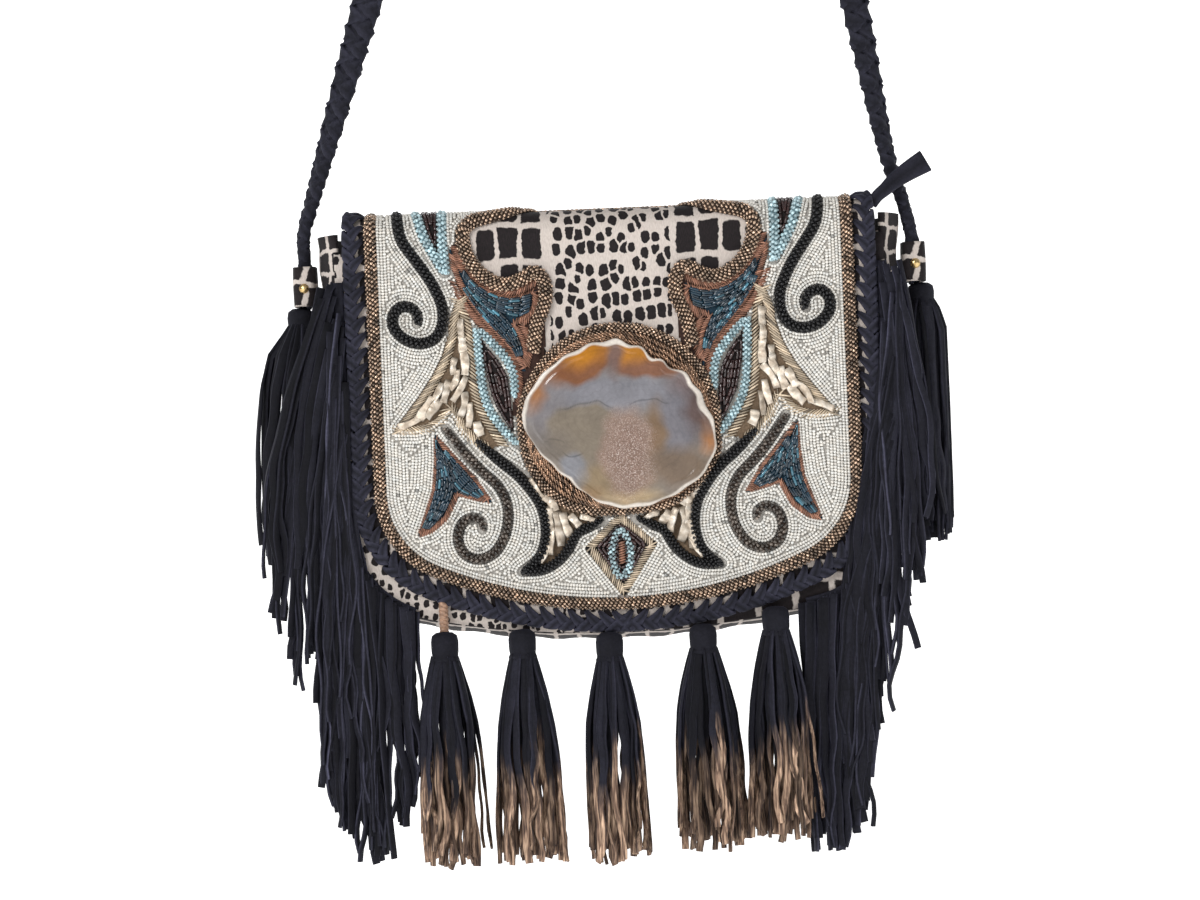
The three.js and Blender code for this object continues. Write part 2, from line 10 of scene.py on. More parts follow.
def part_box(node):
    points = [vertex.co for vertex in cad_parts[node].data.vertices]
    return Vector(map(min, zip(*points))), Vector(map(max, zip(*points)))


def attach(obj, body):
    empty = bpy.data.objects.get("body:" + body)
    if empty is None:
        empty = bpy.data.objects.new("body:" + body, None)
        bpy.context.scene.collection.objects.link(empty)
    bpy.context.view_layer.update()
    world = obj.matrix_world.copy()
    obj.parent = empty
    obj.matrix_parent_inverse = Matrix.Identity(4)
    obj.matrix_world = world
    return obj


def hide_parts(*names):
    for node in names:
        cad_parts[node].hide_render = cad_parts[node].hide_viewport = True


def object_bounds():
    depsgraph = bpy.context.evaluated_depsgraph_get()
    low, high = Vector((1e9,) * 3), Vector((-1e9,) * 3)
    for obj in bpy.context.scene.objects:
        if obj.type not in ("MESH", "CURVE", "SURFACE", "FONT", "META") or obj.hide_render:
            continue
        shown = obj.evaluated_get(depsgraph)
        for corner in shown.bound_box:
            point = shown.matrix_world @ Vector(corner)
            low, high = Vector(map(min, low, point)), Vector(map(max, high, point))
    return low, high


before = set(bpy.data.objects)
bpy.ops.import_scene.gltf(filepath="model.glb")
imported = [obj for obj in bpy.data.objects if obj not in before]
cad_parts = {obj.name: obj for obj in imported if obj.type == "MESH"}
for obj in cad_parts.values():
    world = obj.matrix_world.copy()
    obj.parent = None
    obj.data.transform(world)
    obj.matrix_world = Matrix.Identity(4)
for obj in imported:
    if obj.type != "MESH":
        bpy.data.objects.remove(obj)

CAD_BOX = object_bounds()
rng = np.random.default_rng(7)

# The bag is drawn in millimetres about the crest of its flap fold: x right, z up, front towards -y
HIDE_LOW, HIDE_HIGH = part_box("hide_back_flap")
CREST = np.array([(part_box("bead_panel")[0].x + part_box("bead_panel")[1].x) / 2, 0.0, HIDE_HIGH.z])
FACE_Y = HIDE_LOW.y * 1000          # front face of the flap's hide
BACK_Y = HIDE_HIGH.y * 1000         # outer face of the back
PANEL_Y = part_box("front_panel")[0].y * 1000
WALL = 2.0
FOLD = 11.0                         # outer radius of the folds
FOLD_Y = FACE_Y + FOLD
FOLD_END = FOLD * (math.pi / 2 - 1)
BEAD_TOP_RUN = 14.0                 # beadwork runs this far back over the top
FLAP = dict(half=107.3, corner=39.0, bottom_radius=206.0, bottom=-178.5)
BODY = dict(half=124.0, corner=45.0, bottom_radius=420.0, bottom=-191.5)
EDGE = 8.7                          # hide edge outside the border roll's centre line
STONE_X, STONE_Z = 1.5, -98.0       # middle of the stone
SIDES = ((1, "right"), (-1, "left"))


def metres(points):
    return np.asarray(points, float) * 0.001 + CREST


def unit(vectors):
    vectors = np.asarray(vectors, float)
    return vectors / np.maximum(np.linalg.norm(vectors, axis=-1, keepdims=True), 1e-9)


# Meshes from arrays

class Build:
    """Collects vertices, faces, material numbers and point values, and makes one object of them."""

    def __init__(self):
        self.verts, self.faces, self.mats, self.tints = [], [], [], []
        self.count = 0

    def add(self, verts, faces, material=0, tint=(1, 1, 1, 1)):
        verts = np.asarray(verts, float).reshape(-1, 3)
        self.verts.append(verts)
        self.tints.append(np.broadcast_to(np.asarray(tint, float), (len(verts), 4)))
        for group in faces:
            group = np.asarray(group, int) + self.count
            self.faces.append(group)
            self.mats.append(np.full(len(group), material))
        self.count += len(verts)

    def make(self, name, materials, replaced, uv=None):
        """Makes a piece on the bag's one body, in place of one of its solids."""
        mesh = bpy.data.meshes.new(name)
        verts = metres(np.concatenate(self.verts))
        mesh.vertices.add(len(verts))
        mesh.vertices.foreach_set("co", verts.ravel())
        loops = np.concatenate([group.ravel() for group in self.faces])
        sizes = np.concatenate([np.full(len(group), group.shape[1]) for group in self.faces])
        mesh.loops.add(len(loops))
        mesh.loops.foreach_set("vertex_index", loops)
        mesh.polygons.add(len(sizes))
        mesh.polygons.foreach_set("loop_start", np.concatenate([[0], np.cumsum(sizes)[:-1]]))
        mesh.polygons.foreach_set("material_index", np.concatenate(self.mats))
        mesh.polygons.foreach_set("use_smooth", np.ones(len(sizes), bool))
        tint = mesh.color_attributes.new("tint", "FLOAT_COLOR", "POINT")
        tint.data.foreach_set("color", np.concatenate(self.tints).ravel())
        if uv is not None:
            layer = mesh.uv_layers.new(name="print")
            layer.data.foreach_set("uv", np.asarray(uv)[loops].ravel())
        mesh.update(calc_edges=True)
        for material in materials:
            mesh.materials.append(material)
        piece = bpy.data.objects.new(name, mesh)
        bpy.context.scene.collection.objects.link(piece)
        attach(piece, "root")
        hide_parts(replaced)
        return piece


def grid_faces(rows, columns, wrap=False):
    """Quads over a grid of points numbered row by row."""
    i, j = np.meshgrid(np.arange(rows - 1), np.arange(columns if wrap else columns - 1), indexing="ij")
    k = (j + 1) % columns
    return np.stack([i * columns + j, i * columns + k, (i + 1) * columns + k, (i + 1) * columns + j],
                    -1).reshape(-1, 4)


def tube(build, centres, across, up, section, material=0, tint=(1, 1, 1, 1)):
    """Sweeps a closed section of (across, up) points along centres; section may differ at each one."""
    section = np.broadcast_to(section, (len(centres),) + np.shape(section)[-2:])
    verts = centres[:, None] + across[:, None] * section[..., :1] + up[:, None] * section[..., 1:]
    rows, columns = verts.shape[:2]
    start = np.arange(columns)[None]
    faces = [grid_faces(rows, columns, wrap=True), start[:, ::-1], start + (rows - 1) * columns]
    tint = np.broadcast_to(tint, (rows, columns, 4)).reshape(-1, 4)
    build.add(verts.reshape(-1, 3), faces, material, tint)


def ring(sides, wide, tall):
    """Points of an ellipse."""
    angle = np.linspace(0, 2 * math.pi, sides, endpoint=False)
    return np.stack([np.cos(angle) * wide, np.sin(angle) * tall], -1)


# Sections of flat strips, one unit wide and thick: with sharp edges, and rounded
STRIP = np.array([(-0.5, 0.0), (-0.38, -0.5), (0.38, -0.5), (0.5, 0.0), (0.38, 0.5), (-0.38, 0.5)])
BAND = np.array([(-0.5, 0.0), (-0.4, -0.45), (0.0, -0.5), (0.4, -0.45),
                 (0.5, 0.0), (0.4, 0.45), (0.0, 0.5), (-0.4, 0.45)])


# Beads: one small barrel, set many times

def barrel(sides, stations, dimple):
    """A closed barrel along its first axis, with a dimple for the hole at each end."""
    angle = np.linspace(0, 2 * math.pi, sides, endpoint=False)
    rings = [np.stack([np.full(sides, x), r * np.cos(angle), r * np.sin(angle)], -1) for x, r in stations]
    verts = np.concatenate(rings + [[[-dimple, 0, 0]], [[dimple, 0, 0]]])
    quads = grid_faces(len(stations), sides, wrap=True)
    here = np.arange(sides)
    after = (here + 1) % sides
    first = np.full(sides, len(stations) * sides)
    last = (len(stations) - 1) * sides
    caps = np.concatenate([np.stack([after, here, first], -1),
                           np.stack([last + here, last + after, first + 1], -1)])
    return verts, quads, caps


SMALL = barrel(6, ((-0.8, 0.66), (0.0, 1.0), (0.8, 0.66)), 0.7)
BUGLE = barrel(6, ((-0.97, 0.72), (-0.8, 1.0), (0.8, 1.0), (0.97, 0.72)), 0.93)
WIRE = barrel(5, ((-0.9, 0.5), (0.0, 1.0), (0.9, 0.5)), 1.0)


def set_beads(build, template, places, axes, normals, half_length, radius, material, tint):
    """Copies of one barrel, each along its own axis."""
    verts, quads, caps = template
    axes = unit(axes)
    sides = unit(np.cross(normals, axes))
    ups = np.cross(axes, sides)
    count = len(places)
    half_length = np.broadcast_to(half_length, count)[:, None, None]
    radius = np.broadcast_to(radius, count)[:, None, None]
    cloud = (places[:, None] + axes[:, None] * verts[None, :, :1] * half_length
             + sides[:, None] * verts[None, :, 1:2] * radius + ups[:, None] * verts[None, :, 2:] * radius)
    shift = (np.arange(count) * len(verts))[:, None, None]
    faces = [(group[None] + shift).reshape(-1, group.shape[1]) for group in (quads, caps)]
    build.add(cloud.reshape(-1, 3), faces, material, np.repeat(tint, len(verts), axis=0))


def shades(count, spread, warm=0.0):
    """A slightly different shade for each bead."""
    level = 1 + spread * rng.standard_normal(count)
    tone = warm * rng.standard_normal(count)
    return np.clip(np.stack([level + tone, level, level - tone, np.ones(count)], -1), 0.2, 2.4)


PAINTED_GLINT = (11.0, 6.5, 5.0)               # painted glints: how much brighter, in red, green and blue


def painted_glints(count):
    """Shades of dark glass beads, with painted glints on some of them."""
    tint = shades(count, 0.4)
    # About one bead in six is brightened in colour: a painted glint.
    tint[rng.random(count) < 0.16, :3] *= PAINTED_GLINT
    return tint


# The flap's surface: width x and unrolled height v, where v runs on round the fold and back over the top

def unrolled(z):
    """Unrolled height of points given by their height z; above 0 they lie behind the crest."""
    z = np.asarray(z, float)
    fold = -FOLD + FOLD * np.arcsin(np.clip((z + FOLD) / FOLD, -1, 1))
    return np.where(z <= -FOLD, z, np.where(z > 0, FOLD_END + z, fold))


def surface(x, v, lift=0.0):
    """Points at a lift above the flap, and the way the flap faces there."""
    x, v, lift = np.broadcast_arrays(*(np.asarray(a, float) for a in (x, v, lift)))
    turn = np.clip((v + FOLD) / FOLD, 0, math.pi / 2)
    normal = np.stack([np.zeros_like(turn), -np.cos(turn), np.sin(turn)], -1)
    point = np.stack([x, np.full_like(turn, FOLD_Y), np.full_like(turn, -FOLD)], -1)
    point = point + normal * (FOLD + lift)[..., None]
    point[..., 2] += np.minimum(v + FOLD, 0)
    point[..., 1] += np.maximum(v - FOLD_END, 0)
    return point, normal


def curve(rows, step):
    """A smooth line through rows of points, resampled to even steps."""
    rows = np.asarray(rows, float)
    gaps = np.sqrt(np.linalg.norm(np.diff(rows, axis=0), axis=1))
    slopes = np.gradient(rows, np.concatenate([[0], np.cumsum(gaps)]), axis=0)
    t = np.linspace(0, 1, 24, endpoint=False)[:, None]
    dense = []
    for i, gap in enumerate(gaps):
        dense.append((2 * t**3 - 3 * t**2 + 1) * rows[i] + (t**3 - 2 * t**2 + t) * gap * slopes[i]
                     + (-2 * t**3 + 3 * t**2) * rows[i + 1] + (t**3 - t**2) * gap * slopes[i + 1])
    return resampled(np.concatenate(dense + [rows[-1:]]), step)


def run_along(line):
    """Length along a line at each of its points."""
    return np.concatenate([[0], np.cumsum(np.linalg.norm(np.diff(line, axis=0), axis=1))])


def resampled(line, step):
    """The same line with points at even steps."""
    line = np.asarray(line, float)
    run = run_along(line)
    count = max(int(round(run[-1] / step)), 1) + 1
    even = np.linspace(0, run[-1], count)
    return np.stack([np.interp(even, run, column) for column in line.T], -1)


def charted(rows, side=1):
    """Table rows (x, z), on one side of the flap, as chart points (x, v)."""
    rows = np.asarray(rows, float)
    return np.stack([rows[:, 0] * side, unrolled(rows[:, 1])], -1)


def outline(size, offset, top, steps=40):
    """Down the right side of the flap or pouch, round its bottom and up the left side."""
    centre_z = size["bottom"] + size["bottom_radius"]
    corner_x = size["half"] - size["corner"]
    reach = size["bottom_radius"] - size["corner"]
    corner_z = centre_z - math.sqrt(reach**2 - corner_x**2)
    meet = math.asin(corner_x / reach)
    turn = np.linspace(0, math.pi / 2 - meet, steps)
    radius = size["corner"] + offset
    corner = np.stack([corner_x + radius * np.cos(turn), corner_z - radius * np.sin(turn)], -1)
    swing = np.linspace(meet, 0, steps)[1:]
    radius = size["bottom_radius"] + offset
    bottom = np.stack([radius * np.sin(swing), centre_z - radius * np.cos(swing)], -1)
    right = np.concatenate([[[size["half"] + offset, top]], corner, bottom])
    return np.concatenate([right, right[-2::-1] * [-1, 1]])


# Motif charts for the right half of the flap, (x, z) in millimetres; z above 0 runs back over the top
WINDOW_ROLL = [(35, 9.5), (36, 3), (38.5, 0), (44.7, -1.3), (54, -3.2), (61.5, -5), (65.4, -8.5),
               (65.2, -14.6), (62.7, -21.6), (58.2, -27.6), (52, -32), (45, -33), (39, -30.5),
               (34, -27.8), (30.2, -31), (29, -38), (30.5, -44), (33, -49.5), (34.6, -55), (35.4, -60),
               (36, -64)]
UPPER_SCROLL = [(95.6, 9), (95.4, 1), (93.5, -10), (88.5, -18.5), (83.3, -26), (78.8, -34), (75.9, -42),
                (76.2, -50), (79.8, -56), (86, -58), (93, -56), (98, -50.5), (98, -44.5), (94, -41),
                (89.5, -42), (87, -45.5), (87.6, -49)]
LOWER_SCROLL = [(76.6, -96.5), (72.1, -103), (66.8, -110), (60.5, -117), (54.4, -123), (50.6, -130.8),
                (50.2, -138.8), (52.4, -146.8), (57, -153.3), (63.5, -156), (69.7, -154),
                (72.8, -148.7), (72.6, -143), (70, -138.6), (65.3, -137.2), (62, -139.4), (62, -142.6)]
FORK_OUTER = [(62.5, -102.5), (53, -112), (45.5, -118.5), (39.8, -125.3), (35.2, -133), (33.4, -141),
              (33.8, -148.7), (36.7, -156), (45, -162.3)]
FORK_INNER = [(45, -162.3), (35, -161.6), (27.7, -157.4), (22.8, -151.6), (19.7, -146), (13.5, -143.2),
              (7.8, -140.5)]
SKY_BUD_OUTER = [(87.5, 9), (87.3, 1), (83.5, -9), (79, -18), (74.5, -27)]
SKY_BUD_INNER = [(74.8, 9), (74.8, 1), (74.8, -8), (74.6, -17), (73.8, -27)]
SKY_BUD_FILL = [(77.2, 9), (84.9, 9), (84.8, 1), (81.5, -8), (77, -19), (77, -8)]
SKY_LEAF_OUTER = [(61, -52.5), (60.6, -60), (60.2, -69), (59.3, -79), (57, -88), (53, -95),
                  (47.5, -102), (44.8, -105)]
SKY_LEAF_INNER = [(59.5, -52.6), (54.5, -58.5), (49, -65), (45.8, -71), (44.8, -77), (45.4, -83.5)]
SKY_LEAF_FILL = [(58.6, -57), (57, -60), (51.5, -67), (48, -74), (47, -82), (46.5, -90), (46, -97),
                 (46.5, -100.5), (51, -92.5), (55, -84), (57, -75), (58.4, -67)]
BLUE_LEAF = [(71.5, -16), (71, -24), (68, -32), (63, -41), (57, -49.5), (51, -56), (45.5, -62.5),
             (42, -69), (40.5, -74.5), (38.5, -66), (39, -60), (41, -54.5), (43.5, -51), (37.5, -48.5),
             (33.6, -44), (33, -38), (34, -35.5), (38, -37.5), (44.5, -39), (52, -37.3), (60, -32),
             (66, -24.5), (69.5, -18.5)]
BLUE_ARROW = [(81.7, -98.4), (82, -111), (83.5, -124), (87.8, -136), (91.3, -144.7), (84.8, -143),
              (77.5, -137.3), (72, -126.8), (64.4, -129.2), (56.7, -131), (64.3, -119.3), (72.4, -110)]
FEATHER_OUTER = [(68.5, -37.5), (72.5, -46), (74, -55), (77, -64), (82, -73), (88, -81.5), (96, -91.5),
                 (99, -95.5)]
FEATHER_UNDER = [(99, -96.5), (90, -97), (83, -95.5), (78, -92), (74.5, -87), (71, -92.5), (68, -98),
                 (63, -103), (57, -107)]
FEATHER_INNER = [(68, -38), (64, -46), (62.6, -56), (62, -66), (61.4, -76), (59.8, -85), (56.8, -92),
                 (52, -100), (49.5, -104)]
# Copper wires between the window, the blue leaf and the sky leaf: no white beads lie in this zone
COPPER_ZONE = [(66, -10), (71.5, -16), (71, -24), (68.6, -33), (64, -43), (61, -51), (54, -59),
               (49, -65), (45.8, -71), (44.8, -77), (45.4, -83.5), (47, -92), (36, -92), (30, -60),
               (30, -30), (45, -33), (58.2, -27.6)]
COPPER_GAPS = [ [(70.5, -31), (66, -41), (59.5, -49.5), (53, -56.5), (47, -63.5), (43.6, -70),
               (42.6, -78), (43.2, -88)], [(69.5, -15), (65.5, -22.5), (59, -30), (51.5, -35.2),
               (44.5, -36.8), (38, -34.8), (33.5, -32.5)], [(33, -40), (36, -47.5), (40.2, -51),
               (38, -56), (37.4, -62), (39, -69)]]
# Rows of long blue beads run between these pairs of lines, from the motif's tip to each of its points
LEAF_FLOWS = [([(70, -18), (66.2, -25), (60.2, -32.5), (52.2, -37.8), (44.5, -39.4), (38.6, -38.4),
              (35.4, -37.4)], [(70, -20), (65, -31), (57.5, -40), (49.5, -45.4), (43.5, -47.6),
              (39.4, -47.4), (36.6, -45.6)]), ([(69.8, -20.4), (65.4, -30.6), (57.7, -39.6),
              (49.8, -45.2), (45.4, -50.4), (42.4, -56.8), (40.7, -63.2), (40.7, -71)], [(70.6, -21),
              (69.8, -25), (67, -32.3), (62, -41), (56.2, -49.3), (50.3, -55.8), (44.9, -62.2),
              (41.4, -71)])]
ARROW_FLOWS = [([(81.2, -101), (81.2, -111), (82.7, -124.3), (86.8, -136), (89.8, -143)],
                [(80.2, -104), (76.6, -113), (73.8, -122.5), (78.6, -134), (88, -143)]),
               ([(80, -103), (72.9, -111.2), (65.2, -120.2), (59.4, -129.4)],
                [(79.9, -105), (76.8, -113.5), (73.4, -124.5), (61, -129.4)])]
LOZENGE_GOLD = [(0, -138), (16.5, -152), (0.5, -176), (-16.5, -153)]
LOZENGE_BROWN = [(0, -141.5), (12, -151.8), (0.5, -170.5), (-11.5, -152.5)]
# Outline of the stone about its middle: angle in degrees, radius
STONE_ROWS = [(0, 42), (15, 39), (30, 38), (50, 34), (60, 33.7), (75, 35.8), (90, 38), (120, 38.6),
              (135, 40), (150, 42), (172, 44.3), (180, 42.5), (195, 38.3), (210, 35), (225, 33.5),
              (240, 34.3), (255, 36.2), (270, 37.5), (300, 39.2), (315, 41.4), (330, 44), (345, 44.6),
              (360, 42)]
SCALLOPS = 20


def stone_radius(degrees):
    angles, radii = np.array(STONE_ROWS).T
    degrees = np.mod(degrees, 360)
    chipped = 0.25 + 0.7 * np.exp(-(((degrees - 55) / 45) ** 2))
    return np.interp(degrees, angles, radii) + chipped * np.cos(SCALLOPS * np.radians(degrees))


def collar_radius(degrees):
    """Outer edge of the stone's collar: round, and flattened below the stone."""
    degrees = np.mod(degrees, 360)
    round_edge = 46.2 - 5.4 * np.exp(-(((degrees - 272) / 30) ** 2))
    return np.maximum(round_edge, stone_radius(degrees) + 2.0)


def chart_ring(radius, degrees):
    """Chart points about the middle of the stone."""
    turn = np.radians(degrees)
    return np.stack([STONE_X + radius * np.cos(turn), STONE_Z + radius * np.sin(turn)], -1)


def inside(polygon, points):
    """Even-odd test of many points against one polygon."""
    polygon = np.asarray(polygon, float)
    x, y = points[..., 0], points[..., 1]
    found = np.zeros(x.shape, bool)
    for (x0, y0), (x1, y1) in zip(polygon, np.roll(polygon, -1, axis=0)):
        if y0 == y1:
            continue
        crosses = (y0 > y) != (y1 > y)
        found ^= crosses & (x < (x1 - x0) * (y - y0) / (y1 - y0) + x0)
    return found


def closed_line(polygon, step):
    """A polygon's edge as close points."""
    polygon = np.asarray(polygon, float)
    return resampled(np.concatenate([polygon, polygon[:1]]), step)


def nearest(line, points):
    """Distance from many chart points to a line that is given as close points."""
    tree = KDTree(len(line))
    for index, (x, y) in enumerate(line):
        tree.insert((x, y, 0), index)
    tree.balance()
    flat = points.reshape(-1, 2)
    return np.array([tree.find((x, y, 0))[2] for x, y in flat]).reshape(points.shape[:-1])


def contour_lines(field, level, origin, step):
    """Lines of one level through a grid of values, as chains of points."""
    above = field > level
    links = {}

    def cut(axis, i, j):
        a = field[i, j]
        b = field[i + 1, j] if axis == 0 else field[i, j + 1]
        t = (level - a) / (b - a)
        return (i + t, j) if axis == 0 else (i, j + t)

    code = above[:-1, :-1] * 1 + above[1:, :-1] * 2 + above[1:, 1:] * 4 + above[:-1, 1:] * 8
    for i, j in zip(*np.nonzero((code > 0) & (code < 15))):
        edges = [(0, i, j), (1, i + 1, j), (0, i, j + 1), (1, i, j)]
        corner = [above[i, j], above[i + 1, j], above[i + 1, j + 1], above[i, j + 1]]
        crossed = [edges[k] for k in range(4) if corner[k] != corner[(k + 1) % 4]]
        for a, b in zip(crossed[0::2], crossed[1::2]):
            links.setdefault(a, []).append(b)
            links.setdefault(b, []).append(a)
    lines = []
    ends = [edge for edge, near in links.items() if len(near) == 1]
    for start in ends + list(links):
        if start not in links:
            continue
        chain = [start]
        here = start
        while here in links:
            near = links.pop(here)
            ahead = [edge for edge in near if edge in links]
            if not ahead:
                break
            here = ahead[0]
            chain.append(here)
        if len(chain) > 2:
            lines.append(np.array([cut(*edge) for edge in chain]) * step + origin)
    return lines


# Materials

def new_material(name, colour, roughness, metallic=0.0, **more):
    """A principled material with its node tree and shader; more sets further sockets, as coat_weight."""
    material = bpy.data.materials.new(name)
    material.use_nodes = True
    shader = material.node_tree.nodes["Principled BSDF"]
    shader.inputs["Base Color"].default_value = (*colour, 1)
    shader.inputs["Roughness"].default_value = roughness
    shader.inputs["Metallic"].default_value = metallic
    for key, value in more.items():
        shader.inputs[key.replace("_", " ").title().replace("Ior", "IOR")].default_value = value
    return material, material.node_tree, shader


def linear(red, green, blue):
    """A colour given as 0 to 255 values, as Blender's linear numbers."""
    values = np.array([red, green, blue]) / 255
    return tuple(np.where(values <= 0.04045, values / 12.92, ((values + 0.055) / 1.055) ** 2.4))


def node(tree, kind, inputs=None, **settings):
    made = tree.nodes.new(kind)
    for key, value in settings.items():
        setattr(made, key, value)
    for key, value in (inputs or {}).items():
        if isinstance(value, bpy.types.NodeSocket):
            tree.links.new(value, made.inputs[key])
        else:
            made.inputs[key].default_value = value
    return made


def mixed(tree, factor, a, b, blend="MIX"):
    """Output socket of a colour mix of two sockets or colours."""
    mix = node(tree, "ShaderNodeMix", data_type="RGBA", blend_type=blend)
    for socket, value in ((mix.inputs[0], factor), (mix.inputs[6], a), (mix.inputs[7], b)):
        if isinstance(value, bpy.types.NodeSocket):
            tree.links.new(value, socket)
        else:
            socket.default_value = (*value, 1) if isinstance(value, tuple) else value
    return mix.outputs[2]


def product(tree, a, b):
    return mixed(tree, 1.0, a, b, "MULTIPLY")


def maths(tree, operation, *values, **settings):
    """Output socket of one sum on sockets and numbers."""
    return node(tree, "ShaderNodeMath", dict(enumerate(values)), operation=operation, **settings).outputs[0]


def parts(tree, vector):
    """Sockets of the three parts of a vector or colour."""
    return node(tree, "ShaderNodeSeparateXYZ", {0: vector}).outputs


def ramp(tree, source, *stops):
    """Output socket of a colour ramp; a stop is a place and a colour or a grey."""
    made = node(tree, "ShaderNodeValToRGB", {"Fac": source})
    elements = made.color_ramp.elements
    while len(elements) < len(stops):
        elements.new(0.5)
    for element, (position, colour) in zip(elements, stops):
        element.position = position
        element.color = (*colour, 1) if isinstance(colour, tuple) else (colour, colour, colour, 1)
    return made.outputs["Color"]


def noise(tree, scale, detail=2.0, coords=None, roughness=0.5):
    made = node(tree, "ShaderNodeTexNoise", {"Scale": scale, "Detail": detail, "Roughness": roughness})
    tree.links.new(coords or node(tree, "ShaderNodeTexCoord").outputs["Object"], made.inputs["Vector"])
    return made.outputs["Fac"]


def bump(tree, shader, height, strength, distance):
    made = node(tree, "ShaderNodeBump", {"Height": height, "Strength": strength, "Distance": distance})
    tree.links.new(made.outputs["Normal"], shader.inputs["Normal"])


def tint_of(tree):
    return node(tree, "ShaderNodeVertexColor", layer_name="tint").outputs["Color"]


def bead_material(name, colour, roughness=0.22, metallic=0.0, coat=0.4, wear=0.25):
    """Glass or metal-lined beads: each bead has its own shade, with faint streaks."""
    material, tree, shader = new_material(name, colour, roughness, metallic, coat_weight=coat,
                                          coat_roughness=0.12)
    streak = ramp(tree, noise(tree, 900, 3), (0.3, 1 - wear), (0.7, 1 + wear * 0.2))
    tree.links.new(product(tree, product(tree, colour, tint_of(tree)), streak), shader.inputs["Base Color"])
    rough = ramp(tree, noise(tree, 400, 2), (0.3, max(roughness - 0.1, 0.05)), (0.75, roughness + 0.15))
    tree.links.new(rough, shader.inputs["Roughness"])
    return material


def core_material(name, colour):
    """Padding and cloth under the beads, where it shows between them; its dark colour is partly painted shade
    of the gaps.
    """
    material, tree, shader = new_material(name, colour, 0.9)
    fibre = ramp(tree, noise(tree, 1200, 2), (0.3, 0.6), (0.7, 1.3))
    tree.links.new(product(tree, colour, fibre), shader.inputs["Base Color"])
    return material


WHITE = bead_material("white_beads", linear(230, 227, 220), 0.3, coat=0.3, wear=0.1)
BRONZE = bead_material("bronze_beads", linear(178, 152, 130), 0.22, 0.75, 0.6)
COPPER = bead_material("copper_wire", linear(148, 106, 86), 0.4, 0.3, 0.0)
BLACK = bead_material("black_beads", linear(13, 13, 16), 0.4, 0.0, 0.1)
GREY = bead_material("grey_beads", linear(92, 84, 77), 0.28, 0.3)
SKY = bead_material("sky_beads", linear(180, 206, 212), 0.22)
BLUE = bead_material("blue_beads", linear(14, 42, 57), 0.16, 0.1, 0.4)
BROWN = bead_material("brown_beads", linear(54, 35, 34), 0.22)
CHAIN = bead_material("twisted_wire", linear(160, 128, 104), 0.22, 0.75, 0.3, 0.4)
CORD = bead_material("twisted_cord", linear(176, 140, 116), 0.45, 0.1, 0.0, 0.5)
GOLD_WIRE = bead_material("gold_wire", linear(190, 173, 150), 0.35, 0.2, 0.1)
# The cores' dark colours are partly painted shade between the beads.
CORE = core_material("roll_core", linear(56, 41, 32))
SKY_CORE = core_material("sky_core", linear(112, 140, 148))
DARK_CORE = core_material("dark_core", linear(10, 10, 12))
BLUE_CORE = core_material("blue_core", linear(18, 48, 64))
BROWN_CORE = core_material("brown_core", linear(24, 15, 15))
COPPER_CORE = core_material("copper_core", linear(58, 37, 30))
GOLD_CORE = core_material("gold_core", linear(112, 93, 73))


def backing_material():
    """Pale woven cloth under the white beads."""
    material, tree, shader = new_material("bead_backing", linear(40, 38, 36), 0.9)
    weave = noise(tree, 1500, 2)
    tone = ramp(tree, weave, (0.35, linear(160, 156, 150)), (0.7, linear(194, 190, 183)))
    tree.links.new(tone, shader.inputs["Base Color"])
    bump(tree, shader, weave, 0.4, 0.0004)
    return material


BACKING = backing_material()


# Beaded rolls: slanted rows of beads over a padded core

ROLL_BASE = 0.3                        # a roll lies this far above the hide
ROLL_TURN = 1.32                       # beads reach this far down a roll's sides, in radians from its crest
DOME = np.array([(-0.5, -0.1), (0.5, -0.1), (0.42, 0.62), (0.18, 0.9), (-0.18, 0.9), (-0.42, 0.62)])


def chart_frame(path, closed=False):
    """Ways along a chart path and to its side."""
    if closed:
        along = unit(np.roll(path, -1, axis=0) - np.roll(path, 1, axis=0))
    else:
        along = unit(np.gradient(path, axis=0))
    return along, np.stack([along[:, 1], -along[:, 0]], -1)


